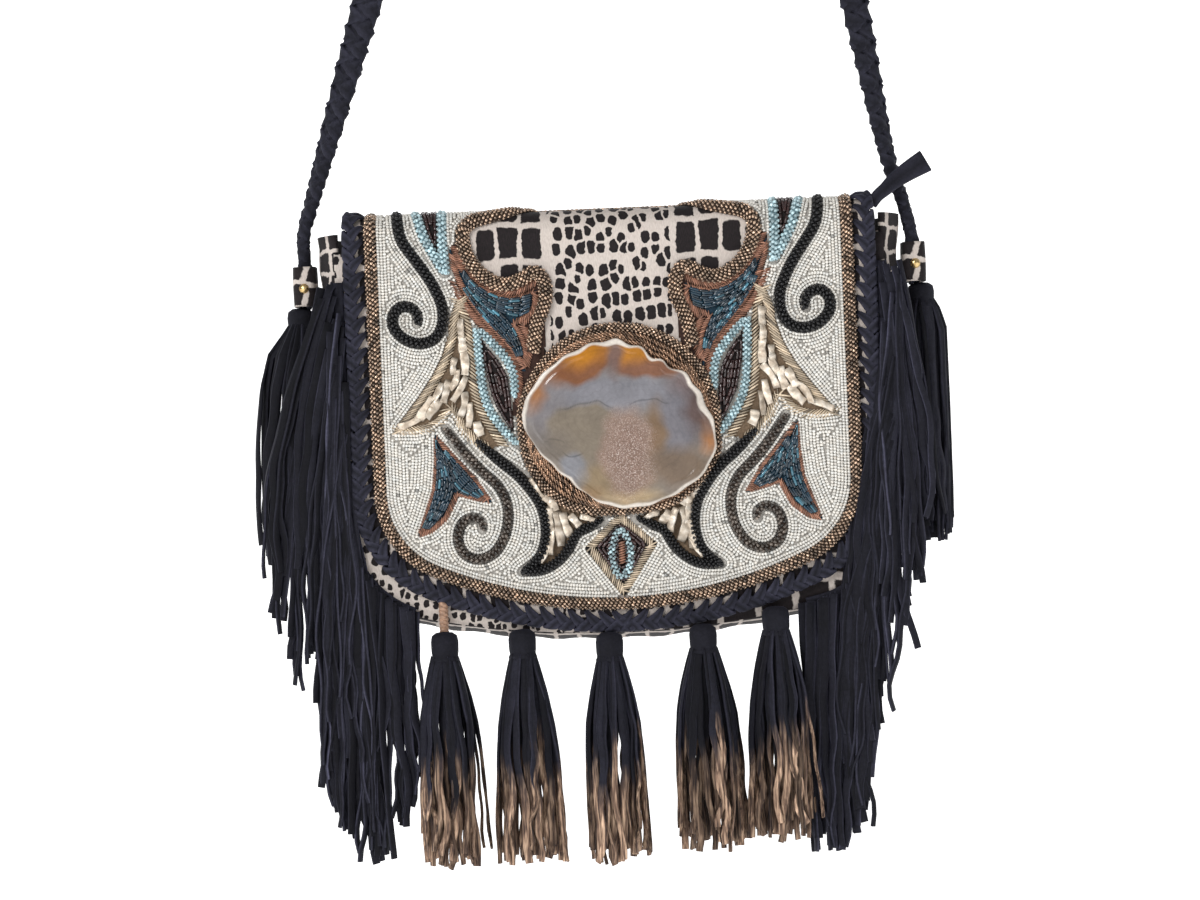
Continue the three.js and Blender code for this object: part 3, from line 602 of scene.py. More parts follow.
def bead_roll(build, path, width, tall, beads, radius, slant=0.6, spread=0.22, closed=False,
              taper=(1.0, 1.0), material=0, core=1, flat_top=1.0, stripe=0.15):
    """Rows of beads laid slantwise over a dome along a chart path; flat_top lowers it behind the crest."""
    pitch = 2 * radius * math.hypot(1, slant)
    path = resampled(path, pitch)
    if closed:
        path = path[:-1]
    side = chart_frame(path, closed)[1]
    share = np.linspace(0, 1, len(path))
    girth = np.minimum(1, taper[0] + (1 - taper[0]) * share * 8)
    girth = girth * np.minimum(1, taper[1] + (1 - taper[1]) * (1 - share) * 8)
    height = 1 - (1 - flat_top) * np.clip((path[:, 1] + 6) / (FOLD_END + 6), 0, 1)
    run = np.arange(len(path))
    period = len(path) if closed else None
    spots, ups = [], []
    for turn in np.linspace(-ROLL_TURN, ROLL_TURN, beads):
        moved = run + slant * (width / 2) * math.sin(turn) / pitch
        near = [np.interp(moved, run, column, period=period) for column in (*path.T, *side.T)]
        centre, across = np.stack(near[:2], -1), np.stack(near[2:], -1)
        spot = centre + across * ((width / 2 - radius * 0.6) * math.sin(turn) * girth)[:, None]
        rise = (tall - radius * 1.4) * max(math.cos(turn), 0.05) * girth
        lift = ROLL_BASE + (radius * 0.7 + rise) * height
        place, normal = surface(*spot.T, lift)
        spots.append(place)
        outward = unit(surface(*(spot + across).T, lift)[0] - place)
        ups.append(normal * math.cos(turn) + outward * math.sin(turn))
    spots, ups = np.array(spots), np.array(ups)
    axes = np.gradient(spots, axis=0)
    half = np.linalg.norm(axes, axis=-1) * 0.5
    tint = shades(half.size, spread).reshape(*half.shape, 4)
    tint[..., :3] *= np.clip(1 + stripe * rng.standard_normal(len(path)), 0.3, 2)[:, None]
    radii = radius * (1 + 0.05 * rng.standard_normal(half.size))
    spots, axes, ups = (rows.reshape(-1, 3) for rows in (spots, axes, ups))
    set_beads(build, SMALL, spots, axes, ups, half.ravel() * 1.02, radii, material, tint.reshape(-1, 4))
    place, normal = surface(*path.T, ROLL_BASE)
    size = np.stack([girth * (width - radius * 1.2), girth * height * (tall - radius * 1.4)], -1)
    if closed:
        place, normal, size = (np.concatenate([rows, rows[:1]]) for rows in (place, normal, size))
    forward = unit(np.gradient(place, axis=0))
    tube(build, place, unit(np.cross(normal, forward)), normal, DOME * size[:, None], core)


def roll(build, rows, side, *sizes, **looks):
    """A bead roll along one of the motif charts."""
    bead_roll(build, curve(charted(rows, side), 0.8), *sizes, **looks)


def wire_band(build, path, width, pitch, slant, radius, lift, spread=0.3, material=0):
    """Fine wires laid side by side, slantwise across a chart path."""
    path = resampled(path, pitch)
    along, side = chart_frame(path)
    place, normal = surface(*path.T, lift)
    tip = surface(*(path + unit(side + along * slant)).T, lift)[0]
    count = len(path)
    set_beads(build, WIRE, place, tip - place, normal, width / 2 * math.hypot(1, slant),
              radius * (1 + 0.1 * rng.standard_normal(count)), material, shades(count, spread))


FIELD_STEP = 0.4
PAD_STEP = 0.8
BUGLE_PITCH, BUGLE_RADIUS = 1.5, 0.72


def field_of(polygon, step):
    """Distance inside a polygon to its edge on a grid, with the grid's origin."""
    polygon = np.asarray(polygon, float)
    low, high = polygon.min(0) - 1, polygon.max(0) + 1
    counts = np.ceil((high - low) / step).astype(int) + 1
    lines = (start + step * np.arange(count) for start, count in zip(low, counts))
    grid = np.stack(np.meshgrid(*lines, indexing="ij"), -1)
    away = nearest(closed_line(polygon, step * 0.5), grid)
    return np.where(inside(polygon, grid), away, -away), low


def long_beads(build, line, length, loose, lift, material, tints):
    """Long beads end to end along a chart line; tints gives a shade to each of a count of beads."""
    knots = resampled(line, length * (1 - loose + 2 * loose * rng.random()))
    place, normal = surface(*((knots[1:] + knots[:-1]) / 2).T, lift)
    ends = surface(*knots.T, lift)[0]
    axes = np.diff(ends, axis=0)
    half = np.linalg.norm(axes, axis=1) / 2
    set_beads(build, BUGLE, place, axes, normal, half * 0.97, BUGLE_RADIUS, material, tints(len(half)))


def bugle_fill(build, polygon, first, length, lift, material):
    """Long beads along lines that follow a polygon's edge inwards."""
    field, origin = field_of(polygon, FIELD_STEP)
    level = first
    while level < field.max():
        for line in contour_lines(field, level, origin, FIELD_STEP):
            if run_along(line)[-1] >= 1.2:
                long_beads(build, line, length, 0.1, lift, material, lambda count: shades(count, 0.3))
        level += BUGLE_PITCH


def kept_cells(keep):
    """Cells of a grid whose corners are all kept: the points they use, and quads over those points."""
    i, j = np.nonzero(keep[:-1, :-1] & keep[1:, :-1] & keep[1:, 1:] & keep[:-1, 1:])
    columns = keep.shape[1]
    corner = i * columns + j
    used, quads = np.unique(np.stack([corner, corner + columns, corner + columns + 1, corner + 1], -1),
                            return_inverse=True)
    return used, quads.reshape(-1, 4)


def pad(build, polygon, lift, material):
    """A flat backing inside a polygon."""
    field, origin = field_of(polygon, PAD_STEP)
    used, quads = kept_cells(field > -PAD_STEP / 2)
    row, column = np.divmod(used, field.shape[1])
    build.add(surface(origin[0] + PAD_STEP * row, origin[1] + PAD_STEP * column, lift)[0], [quads], material)


def border():
    """Bronze roll round the flap's edge, over the fold and across the top."""
    build = Build()
    edge = outline(FLAP, 0, -FOLD)
    over = np.linspace(-FOLD, GROUND_TOP + 3.4, 12)[1:]
    left = np.stack([np.full(11, edge[-1, 0]), over], -1)
    right = np.stack([np.full(11, edge[0, 0]), over[::-1]], -1)
    path = np.concatenate([edge, left, right, edge[:1]])
    # The bronze beads' wide spread of shades is partly painted glints.
    bead_roll(build, path, 5.6, 4.6, 6, 0.72, slant=1.0, spread=0.45, closed=True, flat_top=0.3)
    build.make("bead_border", [BRONZE, CORE], "border_roll")


def rolls():
    # Each roll: piece, node, chart, beads, core, slot; width, height, beads across and their radius; looks
    table = (
        ("window", "window_roll", WINDOW_ROLL, BRONZE, CORE, "bronze_beads", (6.8, 4.9, 7, 0.74),
         dict(flat_top=0.3)),
        ("upper_scroll", "upper_scroll", UPPER_SCROLL, BLACK, DARK_CORE, "black_beads", (5.0, 4.6, 5, 0.82),
         dict(taper=(1, 0.7), flat_top=0.4)),
        ("lower_scroll", "lower_scroll", LOWER_SCROLL, GREY, CORE, "grey_beads", (4.1, 4.0, 4, 0.78),
         dict(taper=(0.7, 0.7), stripe=0.35)))
    for side, hand in SIDES:
        for name, replaced, rows, beads, core, slot, sizes, looks in table:
            build = Build()
            roll(build, rows, side, *sizes, slant=1.0 * side, spread=0.4, **looks)
            build.make(f"bead_{name}_{hand}", [beads, core], f"{replaced}_{hand}")
        build = Build()
        roll(build, FORK_OUTER, side, 4.8, 4.6, 5, 0.8, slant=0.8 * side, taper=(0.4, 0.5))
        roll(build, FORK_INNER, side, 4.4, 4.4, 5, 0.78, slant=0.8 * side, taper=(0.5, 0.4))
        build.make(f"bead_fork_{hand}", [BLACK, DARK_CORE], f"fork_{hand}")


def sky_motifs():
    # Each motif: its two rolls and its middle; sizes of the rolls; slant; length of the middle's beads; looks
    table = (
        ("sky_bud", (SKY_BUD_OUTER, SKY_BUD_INNER), SKY_BUD_FILL, (4.4, 4.0, 4, 0.85), 0.9, 4.0,
         dict(taper=(1, 0.6), flat_top=0.4)),
        ("sky_leaf", (SKY_LEAF_OUTER, SKY_LEAF_INNER), SKY_LEAF_FILL, (4.0, 3.8, 4, 0.82), 0.8, 4.5,
         dict(taper=(0.6, 0.6))))
    for side, hand in SIDES:
        for name, charts, middle, sizes, slant, length, looks in table:
            build = Build()
            for rows in charts:
                roll(build, rows, side, *sizes, slant=slant * side, core=3, **looks)
            fill = charted(middle, side)
            pad(build, fill, 0.6, 1)
            bugle_fill(build, fill, 0.75, length, 1.6, 2)
            build.make(f"bead_{name}_{hand}", [SKY, BROWN_CORE, BROWN, SKY_CORE], f"{name}_{hand}")


def inset(polygon, distance):
    """The polygon moved inwards by a distance, as its longest inner contour."""
    field, origin = field_of(polygon, FIELD_STEP)
    return max(contour_lines(field, distance, origin, FIELD_STEP), key=len)


def flow_fill(build, flow, side):
    """Rows of long beads between two lines of a motif; a row stops where the lines pinch together."""
    pitch, length, lift, material = 1.3, 4.8, 1.9, 2
    t = np.linspace(0, 1, 120)
    lines = [curve(charted(rows, side), 0.5) for rows in flow]
    first, last = (np.stack([np.interp(t, np.linspace(0, 1, len(line)), column) for column in line.T], -1)
                   for line in lines)
    gap = np.linalg.norm(last - first, axis=1)
    count = int(gap.max() / pitch) + 1
    for k in range(count):
        room = gap / count > (0.55 if k % 2 else 0.28) * pitch
        if room.sum() >= 8:
            line = (first + (last - first) * (k + 0.5) / count)[room]
            long_beads(build, line, length, 0.15, lift, material, painted_glints)


def blue_motifs():
    table = (("blue_leaf", BLUE_LEAF, LEAF_FLOWS, COPPER_GAPS), ("blue_arrow", BLUE_ARROW, ARROW_FLOWS, ()))
    for side, hand in SIDES:
        copper = dict(pitch=1.1, slant=0.9 * side, radius=0.5)
        for name, rows, flows, gaps in table:
            build = Build()
            shape = charted(rows, side)
            pad(build, shape, 0.8, 1)
            wire_band(build, closed_line(inset(shape, 0.8), 0.4), 2.9, lift=1.7, **copper)
            for flow in flows:
                flow_fill(build, flow, side)
            if gaps:
                pad(build, charted(COPPER_ZONE, side), 0.5, 3)
            for gap in gaps:
                wire_band(build, curve(charted(gap, side), 0.5), 3.6, lift=1.4, **copper)
            build.make(f"bead_{name}_{hand}", [COPPER, BLUE_CORE, BLUE, COPPER_CORE], f"{name}_{hand}")


def lozenge():
    """A gold wire diamond with brown beads in it, and a blue spindle over a copper middle."""
    build = Build()
    gold, brown = np.array(LOZENGE_GOLD, float), np.array(LOZENGE_BROWN, float)
    pad(build, gold, 0.8, 3)
    wire_band(build, closed_line((gold + brown) / 2, 0.4), 4.2, pitch=1.2, slant=0.8, radius=0.5, lift=1.5)
    bugle_fill(build, brown, 0.7, 3.6, 1.9, 1)
    turn = np.linspace(0, 2 * math.pi, 60)
    tall = np.sign(np.cos(turn)) * np.abs(np.cos(turn)) ** 1.25
    spindle = np.stack([4.3 * np.sin(turn), -156 + 10.6 * tall], -1)
    bead_roll(build, spindle, 3.8, 3.6, 4, 0.85, slant=0.7, material=4, core=3)
    middle = np.stack([np.full(6, 0.3), np.linspace(-151, -160, 6)], -1)
    wire_band(build, middle, 3.0, pitch=1.1, slant=0.3, radius=0.6, lift=3.0, material=2)
    build.make("bead_lozenge", [GOLD_WIRE, BROWN, COPPER, DARK_CORE, SKY], "lozenge")


# White ground: rows of seed beads that follow every edge on the flap

GROUND_STEP = 0.6
FIRST_ROW, ROW_PITCH, BEAD_PITCH = 0.75, 1.52, 1.36
SEED_HALF, SEED_RADIUS, SEED_LIFT = 0.78, 0.86, 0.95
CLOTH_LIFT, CLOTH_STRIDE = 0.25, 3     # the cloth's mesh takes every third point of the grid
HOLE_SHADE_SHARE = 0.012                    # share of the beads darkened all over, as painted shade of a dark hole
GROUND_TOP = FOLD_END + BEAD_TOP_RUN
SEED_ROOM, SPARE_ROOM = 1.14, 1.3      # least distance between seed beads in rows, and between spare ones
# Motifs that the white beads keep out of, and rolls that they lie beside, with half the room of each
GROUND_SHAPES = [COPPER_ZONE, BLUE_ARROW, SKY_BUD_FILL, SKY_LEAF_FILL, FORK_OUTER + FORK_INNER[1:]]
GROUND_ROLLS = [(3.1, [WINDOW_ROLL]), (2.2, [UPPER_SCROLL, LOWER_SCROLL, FORK_OUTER, FORK_INNER]),
                (2.0, [SKY_BUD_OUTER, SKY_BUD_INNER, SKY_LEAF_OUTER, SKY_LEAF_INNER])]


def window_shape():
    """The bare hide between the two window rolls, open to the top crossing of the border."""
    right = curve(charted(WINDOW_ROLL), 0.8)
    edge = np.concatenate([[[right[0, 0], GROUND_TOP + 4]], right, [[STONE_X, STONE_Z]]])
    return np.concatenate([edge, edge[-2::-1] * [-1, 1]])


def feather_shape(side):
    return charted(FEATHER_OUTER + FEATHER_UNDER + FEATHER_INNER[:0:-1], side)


def ground_field():
    """Free distance to the nearest edge, roll or motif over the flap, its grid, and where cloth lies."""
    x = np.arange(-106, 106.01, GROUND_STEP)
    v = np.arange(-182, GROUND_TOP + 0.01, GROUND_STEP)
    grid = np.stack(np.meshgrid(x, v, indexing="ij"), -1)
    edge = outline(FLAP, -2.7, GROUND_TOP + 0.4)
    window = window_shape()
    turns = np.linspace(0, 360, 180, endpoint=False)
    kept_out = [window, chart_ring(collar_radius(turns), turns), np.array(LOZENGE_GOLD, float)]
    for side, _ in SIDES:
        kept_out += [charted(rows, side) for rows in GROUND_SHAPES] + [feather_shape(side)]
    free = inside(edge, grid)
    cloth = free & ~inside(window, grid)
    for shape in kept_out:
        free = free & ~inside(shape, grid)
    edges = np.concatenate([closed_line(shape, 0.4) for shape in [edge] + kept_out])
    field = np.where(free, nearest(edges, grid), -1.0)
    for half, charts in GROUND_ROLLS:
        points = np.concatenate([curve(charted(rows, side), 0.4) for side, _ in SIDES for rows in charts])
        field = np.minimum(field, nearest(points, grid) - half)
    return field, grid, cloth


def white_ground():
    """Seed beads in rows along the field's contours, and spare ones where room is left."""
    field, grid, cloth = ground_field()
    origin = grid[0, 0]
    slope = np.stack(np.gradient(field, GROUND_STEP), -1)
    placed, axes, cells = [], [], {}

    def crowded(x, v, room):
        i, j = int(x // 2), int(v // 2)
        return any((x - a) ** 2 + (v - b) ** 2 < room**2
                   for p in (i - 1, i, i + 1) for q in (j - 1, j, j + 1) for a, b in cells.get((p, q), ()))

    def put(x, v, axis):
        cells.setdefault((int(x // 2), int(v // 2)), []).append((x, v))
        placed.append((x, v))
        axes.append(axis)

    level = FIRST_ROW
    while level < field.max():
        for line in contour_lines(field, level, origin, GROUND_STEP):
            knots = resampled(line, BEAD_PITCH)
            for here, ahead in zip(knots[:-1], knots[1:]):
                middle = (here + ahead) / 2
                if not crowded(*middle, SEED_ROOM):
                    put(*middle, ahead - here)
        level += ROW_PITCH
    spare = np.argwhere(field > 0.7)
    spare = spare[np.argsort(-field[tuple(spare.T)], kind="stable")]
    for i, j in spare:
        x, v = grid[i, j]
        if not crowded(x, v, SPARE_ROOM):
            put(x, v, np.array([slope[i, j, 1], -slope[i, j, 0]]) + 1e-6)
    placed, axes = np.array(placed), unit(axes)
    for side, hand in SIDES:
        here = placed[:, 0] * side >= 0
        spot, axis = placed[here], axes[here]
        count = len(spot)
        lift = SEED_LIFT + 0.08 * rng.standard_normal(count)
        place, normal = surface(*spot.T, lift)
        tip = surface(*(spot + axis).T, lift)[0]
        build = Build()
        radius = SEED_RADIUS * (1 + 0.05 * rng.standard_normal(count))
        tint = shades(count, 0.07, 0.012)
        # A few beads are darkened all over: painted shade of their holes.
        tint[rng.random(count) < HOLE_SHADE_SHARE, :3] *= 0.4
        set_beads(build, SMALL, place, tip - place, normal, SEED_HALF, radius, 0, tint)
        keep = (cloth & (grid[..., 0] * side >= -GROUND_STEP))[::CLOTH_STRIDE, ::CLOTH_STRIDE]
        used, quads = kept_cells(keep)
        chart = grid[::CLOTH_STRIDE, ::CLOTH_STRIDE].reshape(-1, 2)[used]
        build.add(surface(*chart.T, CLOTH_LIFT)[0], [quads], 1)
        build.make(f"bead_ground_{hand}", [WHITE, BACKING], "bead_panel")


# Stone and collar

STONE_LIFT, STONE_THICK = 2.6, 6.5


def collar():
    """A bronze roll round the stone, and rows of slanted wires between it and the stone."""
    build = Build()
    degrees = np.linspace(0, 360, 361)
    inner = stone_radius(degrees) - 0.8
    crest = np.maximum(collar_radius(degrees) - 2.4, inner + 1.2)
    # The bronze beads' wide spread of shades is partly painted glints.
    bead_roll(build, chart_ring(crest, degrees), 4.8, 4.6, 6, 0.72, slant=1.0, spread=0.45, closed=True)
    for share in (0.04, 0.28, 0.52, 0.76):
        radius = inner + (crest - 1.2 - inner) * share
        wire_band(build, chart_ring(radius, degrees), 2.1, pitch=1.7, slant=1.5, radius=0.66,
                  lift=4.3 - 0.9 * share, spread=0.45, material=2)
    bed = np.concatenate([surface(*chart_ring(radius, degrees).T, lift)[0]
                          for radius, lift in ((crest, 2.4), (inner - 2, 3.2))])
    build.add(bed, [grid_faces(2, 361)], 1)
    build.make("bead_collar", [BRONZE, CORE, CHAIN], "stone_collar")


# Patches of colour in the stone: middle x and z, half width, half height, softness, strength, colour
STONE_PATCHES = [
    (0, -84, 40, 10, 0.5, 0.9, (150, 150, 158)),
    (-32, -92, 9, 12, 0.6, 0.8, (138, 134, 138)),
    (28, -98, 10, 17, 0.45, 0.9, (136, 134, 142)),
    (-14, -101, 17, 13, 0.12, 0.95, (148, 136, 120)),
    (-27, -107, 7, 8, 0.5, 0.7, (134, 124, 114)),
    (-19, -118, 6, 9, 0.2, 0.85, (148, 150, 158)),
    (-2, -124, 16, 10, 0.3, 0.9, (164, 142, 110)),
    (5, -111, 13, 20, 0.16, 0.95, (160, 134, 118)),
    (18, -103, 4, 13, 0.5, 0.8, (146, 116, 84)),
    (27, -118, 15, 9, 0.4, 0.9, (136, 116, 98)),
    (38, -92, 7, 13, 0.5, 0.9, (104, 84, 80)),
    (33, -80, 9, 6, 0.5, 0.8, (124, 104, 102)),
    (-28, -74, 13, 6, 0.5, 0.85, (150, 102, 72)),
    (-15, -68, 13.5, 11, 0.12, 0.95, (150, 98, 66)),
    (17, -67.5, 18.5, 10.5, 0.12, 0.95, (148, 102, 78)),
    (-14, -64.5, 10, 7, 0.5, 0.95, (204, 134, 40)),
    (10, -64.5, 11, 6, 0.5, 0.95, (202, 134, 44)),
    (0, -67, 3.4, 9, 0.5, 0.9, (128, 104, 98)),
    (42, -106, 4, 6, 0.7, 0.85, (196, 130, 70)),
    (43, -99, 4, 6, 0.7, 0.75, (112, 88, 80)),
    (-36, -82, 4, 7, 0.7, 0.85, (186, 124, 70)),
    (-17, -130, 8, 4, 0.7, 0.6, (180, 132, 84)),
    (8, -131, 12, 3, 0.6, 0.8, (206, 180, 140))]
DRUZY = (5, -111, 10, 17)              # druzy patch, with painted sparkle: middle x and z, half width, half height
# Dark hair cracks across the stone: middle x and z, half width, sag, depth of the line
STONE_CRACKS = [(-13, -87.5, 14, -5, 0.45), (15, -88, 10, -1.2, 0.4), (-20, -111, 5, 1.5, 0.5),
                (-28, -104, 6, -3, 0.25)]
STONE_RIM = (250, 240, 228)
# Where the chalky rim reaches in furthest: angle, spread, reach
CHALK_LOBES = [(1.6, 0.22, 2.2), (0.25, 0.4, 2.0), (2.55, 0.4, 1.4), (-1.3, 0.5, 0.8)]
STONE_LIGHT = 0.69                     # the lit stone shows its colours at this strength


def stone_warp(chart):
    """Lets the patches run in uneven tongues, as the bands of an agate do."""
    x, z = chart[:, 0], chart[:, 1]
    warp = np.stack([1.0 * np.sin(0.33 * z + 1.1) + 0.4 * np.sin(0.81 * z + 0.29 * x),
                     0.8 * np.sin(0.29 * x + 0.4) + 0.35 * np.sin(0.73 * x - 0.31 * z + 2.0)], -1)
    return chart + warp


def patch_weight(chart, x, z, wide, tall, soft):
    away = np.hypot((chart[:, 0] - x) / wide, (chart[:, 1] - z) / tall)
    return np.clip((1 + soft - away) / (2 * soft), 0, 1) ** 1.2


def stone_colour(chart, from_rim):
    """Colour of the stone at chart points, from its patches and its chalky rim."""
    moved = stone_warp(chart)
    colour = np.tile(np.array(linear(150, 140, 130)), (len(chart), 1))
    for x, z, wide, tall, soft, strength, tone in STONE_PATCHES:
        weight = strength * patch_weight(moved, x, z, wide, tall, soft)
        colour += (np.array(linear(*tone)) - colour) * weight[:, None]
    for x, z, half, sag, depth in STONE_CRACKS:
        along = (chart[:, 0] - x) / half
        away = np.abs(moved[:, 1] - z - sag * along**2)
        weight = depth * np.clip(1 - away / 0.55, 0, 1) * np.clip(3 - 3 * np.abs(along), 0, 1)
        colour *= 1 - weight[:, None]
    turn = np.arctan2(chart[:, 1] - STONE_Z, chart[:, 0] - STONE_X)
    chalk = 0.6 + 0.4 * np.sin(7 * turn) + 0.3 * np.sin(13 * turn)
    for middle, spread, reach in CHALK_LOBES:
        chalk = chalk + reach * np.exp(-(((turn - middle) / spread) ** 2))
    weight = np.clip((chalk + 0.5 - from_rim) / 0.7, 0, 1)
    colour += (np.array(linear(*STONE_RIM)) - colour) * weight[:, None]
    return np.concatenate([colour * STONE_LIGHT, np.ones((len(chart), 1))], -1)


def agate_material():
    """Polished agate: cloudy bands over the patches, fine lines along the rim, a druzy middle with painted
    sparkle.
    """
    material, tree, shader = new_material("agate", linear(178, 170, 160), 0.16, specular_ior_level=0.3,
                                          coat_weight=0.08, coat_roughness=0.08)
    coords = node(tree, "ShaderNodeTexCoord").outputs["Object"]
    druzy, band, _ = parts(tree, node(tree, "ShaderNodeUVMap", uv_map="print").outputs["UV"])
    cloud = ramp(tree, noise(tree, 90, 5, coords, 0.6), (0.3, 0.82), (0.7, 1.14))
    fine = ramp(tree, noise(tree, 600, 5, coords, 0.65), (0.3, 0.88), (0.7, 1.08))
    drift = maths(tree, "MULTIPLY", noise(tree, 60, 3, coords), 3.0)
    saw = maths(tree, "FRACT", maths(tree, "ADD", band, drift))
    lines = ramp(tree, saw, (0.0, 0.93), (0.14, 1.0), (0.86, 1.0), (1.0, 0.93))
    base = product(tree, product(tree, product(tree, tint_of(tree), cloud), fine), lines)
    grain = node(tree, "ShaderNodeTexVoronoi", {"Vector": coords, "Scale": 2500.0})
    # Pale druzy cells are painted sparkle over the crystals' own colours.
    crystal_colour_and_sparkle = ramp(tree, grain.outputs["Color"], (0.15, linear(104, 80, 70)), (0.6, linear(146, 118, 106)),
                   (0.9, linear(236, 220, 212)))
    base = mixed(tree, druzy, base, mixed(tree, 0.55, base, crystal_colour_and_sparkle))
    tree.links.new(base, shader.inputs["Base Color"])
    tree.links.new(maths(tree, "MULTIPLY_ADD", druzy, 0.3, 0.16), shader.inputs["Roughness"])
    bump(tree, shader, maths(tree, "MULTIPLY", grain.outputs["Distance"], druzy), 0.5, 0.0008)
    return material


def agate():
    """The slab: rings from its middle to its scalloped rim and down its edge."""
    build = Build()
    turns, rings = 300, 70
    degrees = np.linspace(0, 360, turns, endpoint=False)
    rim = stone_radius(degrees)
    top = STONE_LIFT + STONE_THICK
    rows = [(share, top - 0.3 * share**2) for share in 0.982 * np.linspace(0.01, 1, rings) ** 0.9]
    rows += [(0.995, top - 0.7), (1.0, top - 1.6), (0.99, STONE_LIFT + 1.2), (0.96, STONE_LIFT)]
    verts, tints, chart_values = [], [], []
    for share, lift in rows:
        chart = chart_ring(rim * share, degrees)
        from_rim = rim * max(1 - share, 0)
        chip = 0.35 * np.sin(9 * np.radians(degrees) + 1) * (share > 0.9)
        verts.append(surface(*chart.T, lift + chip)[0])
        tints.append(stone_colour(chart, from_rim))
        druzy = patch_weight(stone_warp(chart), *DRUZY, 0.5)
        chart_values.append(np.stack([druzy, from_rim / 3.6], -1))
    quads = grid_faces(len(rows), turns, wrap=True)
    build.add(np.concatenate(verts), [quads[:, ::-1], np.arange(turns)[None]], 0, np.concatenate(tints))
    build.make("agate_slab", [agate_material()], "agate_slice", np.concatenate(chart_values))


# Gold leather: small folded strips, and bands of fine wire beside them
# Strips of a feather and of a fan: start x and z, end x and z, width
FEATHER_STRIPS = [ (67.8, -47.5, 67.6, -56, 4.0), (67.5, -55.5, 67.3, -63, 4.3),
                  (67.3, -62, 67, -73, 4.3), (71, -65, 71.8, -72.5, 3.4), (70.5, -70.5, 73.8, -79, 3.8),
                  (66.4, -73.5, 73, -84.5, 3.6), (74.4, -75, 77.2, -85, 3.9),
                  (77.5, -76, 82, -84.5, 3.8), (78.3, -83.5, 85, -91.5, 4.4),
                  (81.5, -82.5, 88.2, -92, 4.2), (87.3, -90.5, 98, -95, 3.4),
                  (67.4, -80.5, 69.8, -91.5, 3.3), (65.4, -85.5, 66.4, -96.5, 3.2),
                  (62.6, -94, 60.8, -100.5, 4.4)]
FAN_STRIPS = [
    (39.8, -120.8, 34.4, -129.6, 3.2), (35, -129, 28.6, -135.6, 4.4), (31.6, -133.5, 30.2, -144, 4.2),
    (30.4, -142.5, 32.2, -155, 4.0), (28.4, -136, 26.8, -151.5, 4.4), (25.6, -136.5, 22.4, -147, 4.2),
    (22.4, -137.6, 18.2, -143, 3.8), (17.8, -138.4, 11.6, -141, 3.2), (31.4, -150, 37, -158.5, 3.6)]


def gold_material():
    """Creased gold leather, paler where it is smooth, with painted highlight and shade over its creases."""
    material, tree, shader = new_material("gold_leather", linear(206, 188, 156), 0.36, 0.35)
    crease = noise(tree, 300, 4)
    # The crease noise paints the leather paler and darker: partly its own tone, partly painted highlight and
    # shade.
    tone = ramp(tree, crease, (0.3, linear(164, 148, 130)), (0.5, linear(210, 196, 178)),
                (0.75, linear(240, 232, 220)))
    tree.links.new(product(tree, tone, tint_of(tree)), shader.inputs["Base Color"])
    tree.links.new(ramp(tree, crease, (0.3, 0.5), (0.7, 0.28)), shader.inputs["Roughness"])
    bump(tree, shader, crease, 0.4, 0.0006)
    return material


GOLD = gold_material()
STRIP_BASE, STRIP_RISE, STRIP_THICK = 1.5, 1.3, 0.6
STRIP_PAINTED_SHADE = np.array([0.5, 0.7, 0.7, 0.5, 0.95, 1.12])     # painted shade round a strip: darkest at its sides, dark below, light above


def strip(build, start, end, width):
    """One flat strip of leather between two chart points, crumpled and tucked in at its ends, with painted
    shade.
    """
    t = np.linspace(0, 1, 11)
    start, end = np.array(start), np.array(end)
    reach = end - start
    bow = np.array([reach[1], -reach[0]]) * 0.06 * rng.standard_normal()
    line = start + reach * t[:, None] + bow * np.sin(math.pi * t)[:, None]
    arch = np.sin(math.pi * (0.06 + 0.88 * t)) ** 0.35
    crumple = 0.3 * np.sin(2 * math.pi * (2.2 * t + rng.random()))
    lift = STRIP_BASE + (STRIP_RISE + crumple) * arch * (0.85 + 0.3 * rng.random())
    place, normal = surface(*line.T, lift)
    forward = unit(np.gradient(place, axis=0))
    flat = unit(np.cross(normal, forward))
    rock = 0.4 * rng.standard_normal() + 0.3 * rng.standard_normal() * (t - 0.5)
    up = unit(np.cross(forward, flat) + rock[:, None] * flat)
    across = unit(np.cross(up, forward))
    waver = 1 + 0.12 * np.sin(2 * math.pi * (1.3 * t + rng.random()))
    girth = width * waver * (0.9 + 0.25 * rng.random())
    size = np.stack([girth, np.full(len(t), STRIP_THICK)], -1)
    # A random tone for the strip, times painted shade: lighter where it arches and crumples up, darker at its
    # tucked ends.
    shade = (0.8 + 0.4 * rng.random()) * STRIP_PAINTED_SHADE * (0.6 + 0.4 * arch + 0.5 * crumple)[:, None]
    tint = np.stack([shade, shade, shade, np.ones_like(shade)], -1)
    tube(build, place, across, up, STRIP[None] * size[:, None], 0, tint)


def strips(build, rows, side):
    for x0, z0, x1, z1, width in rows:
        strip(build, (x0 * side, z0), (x1 * side, z1), width)


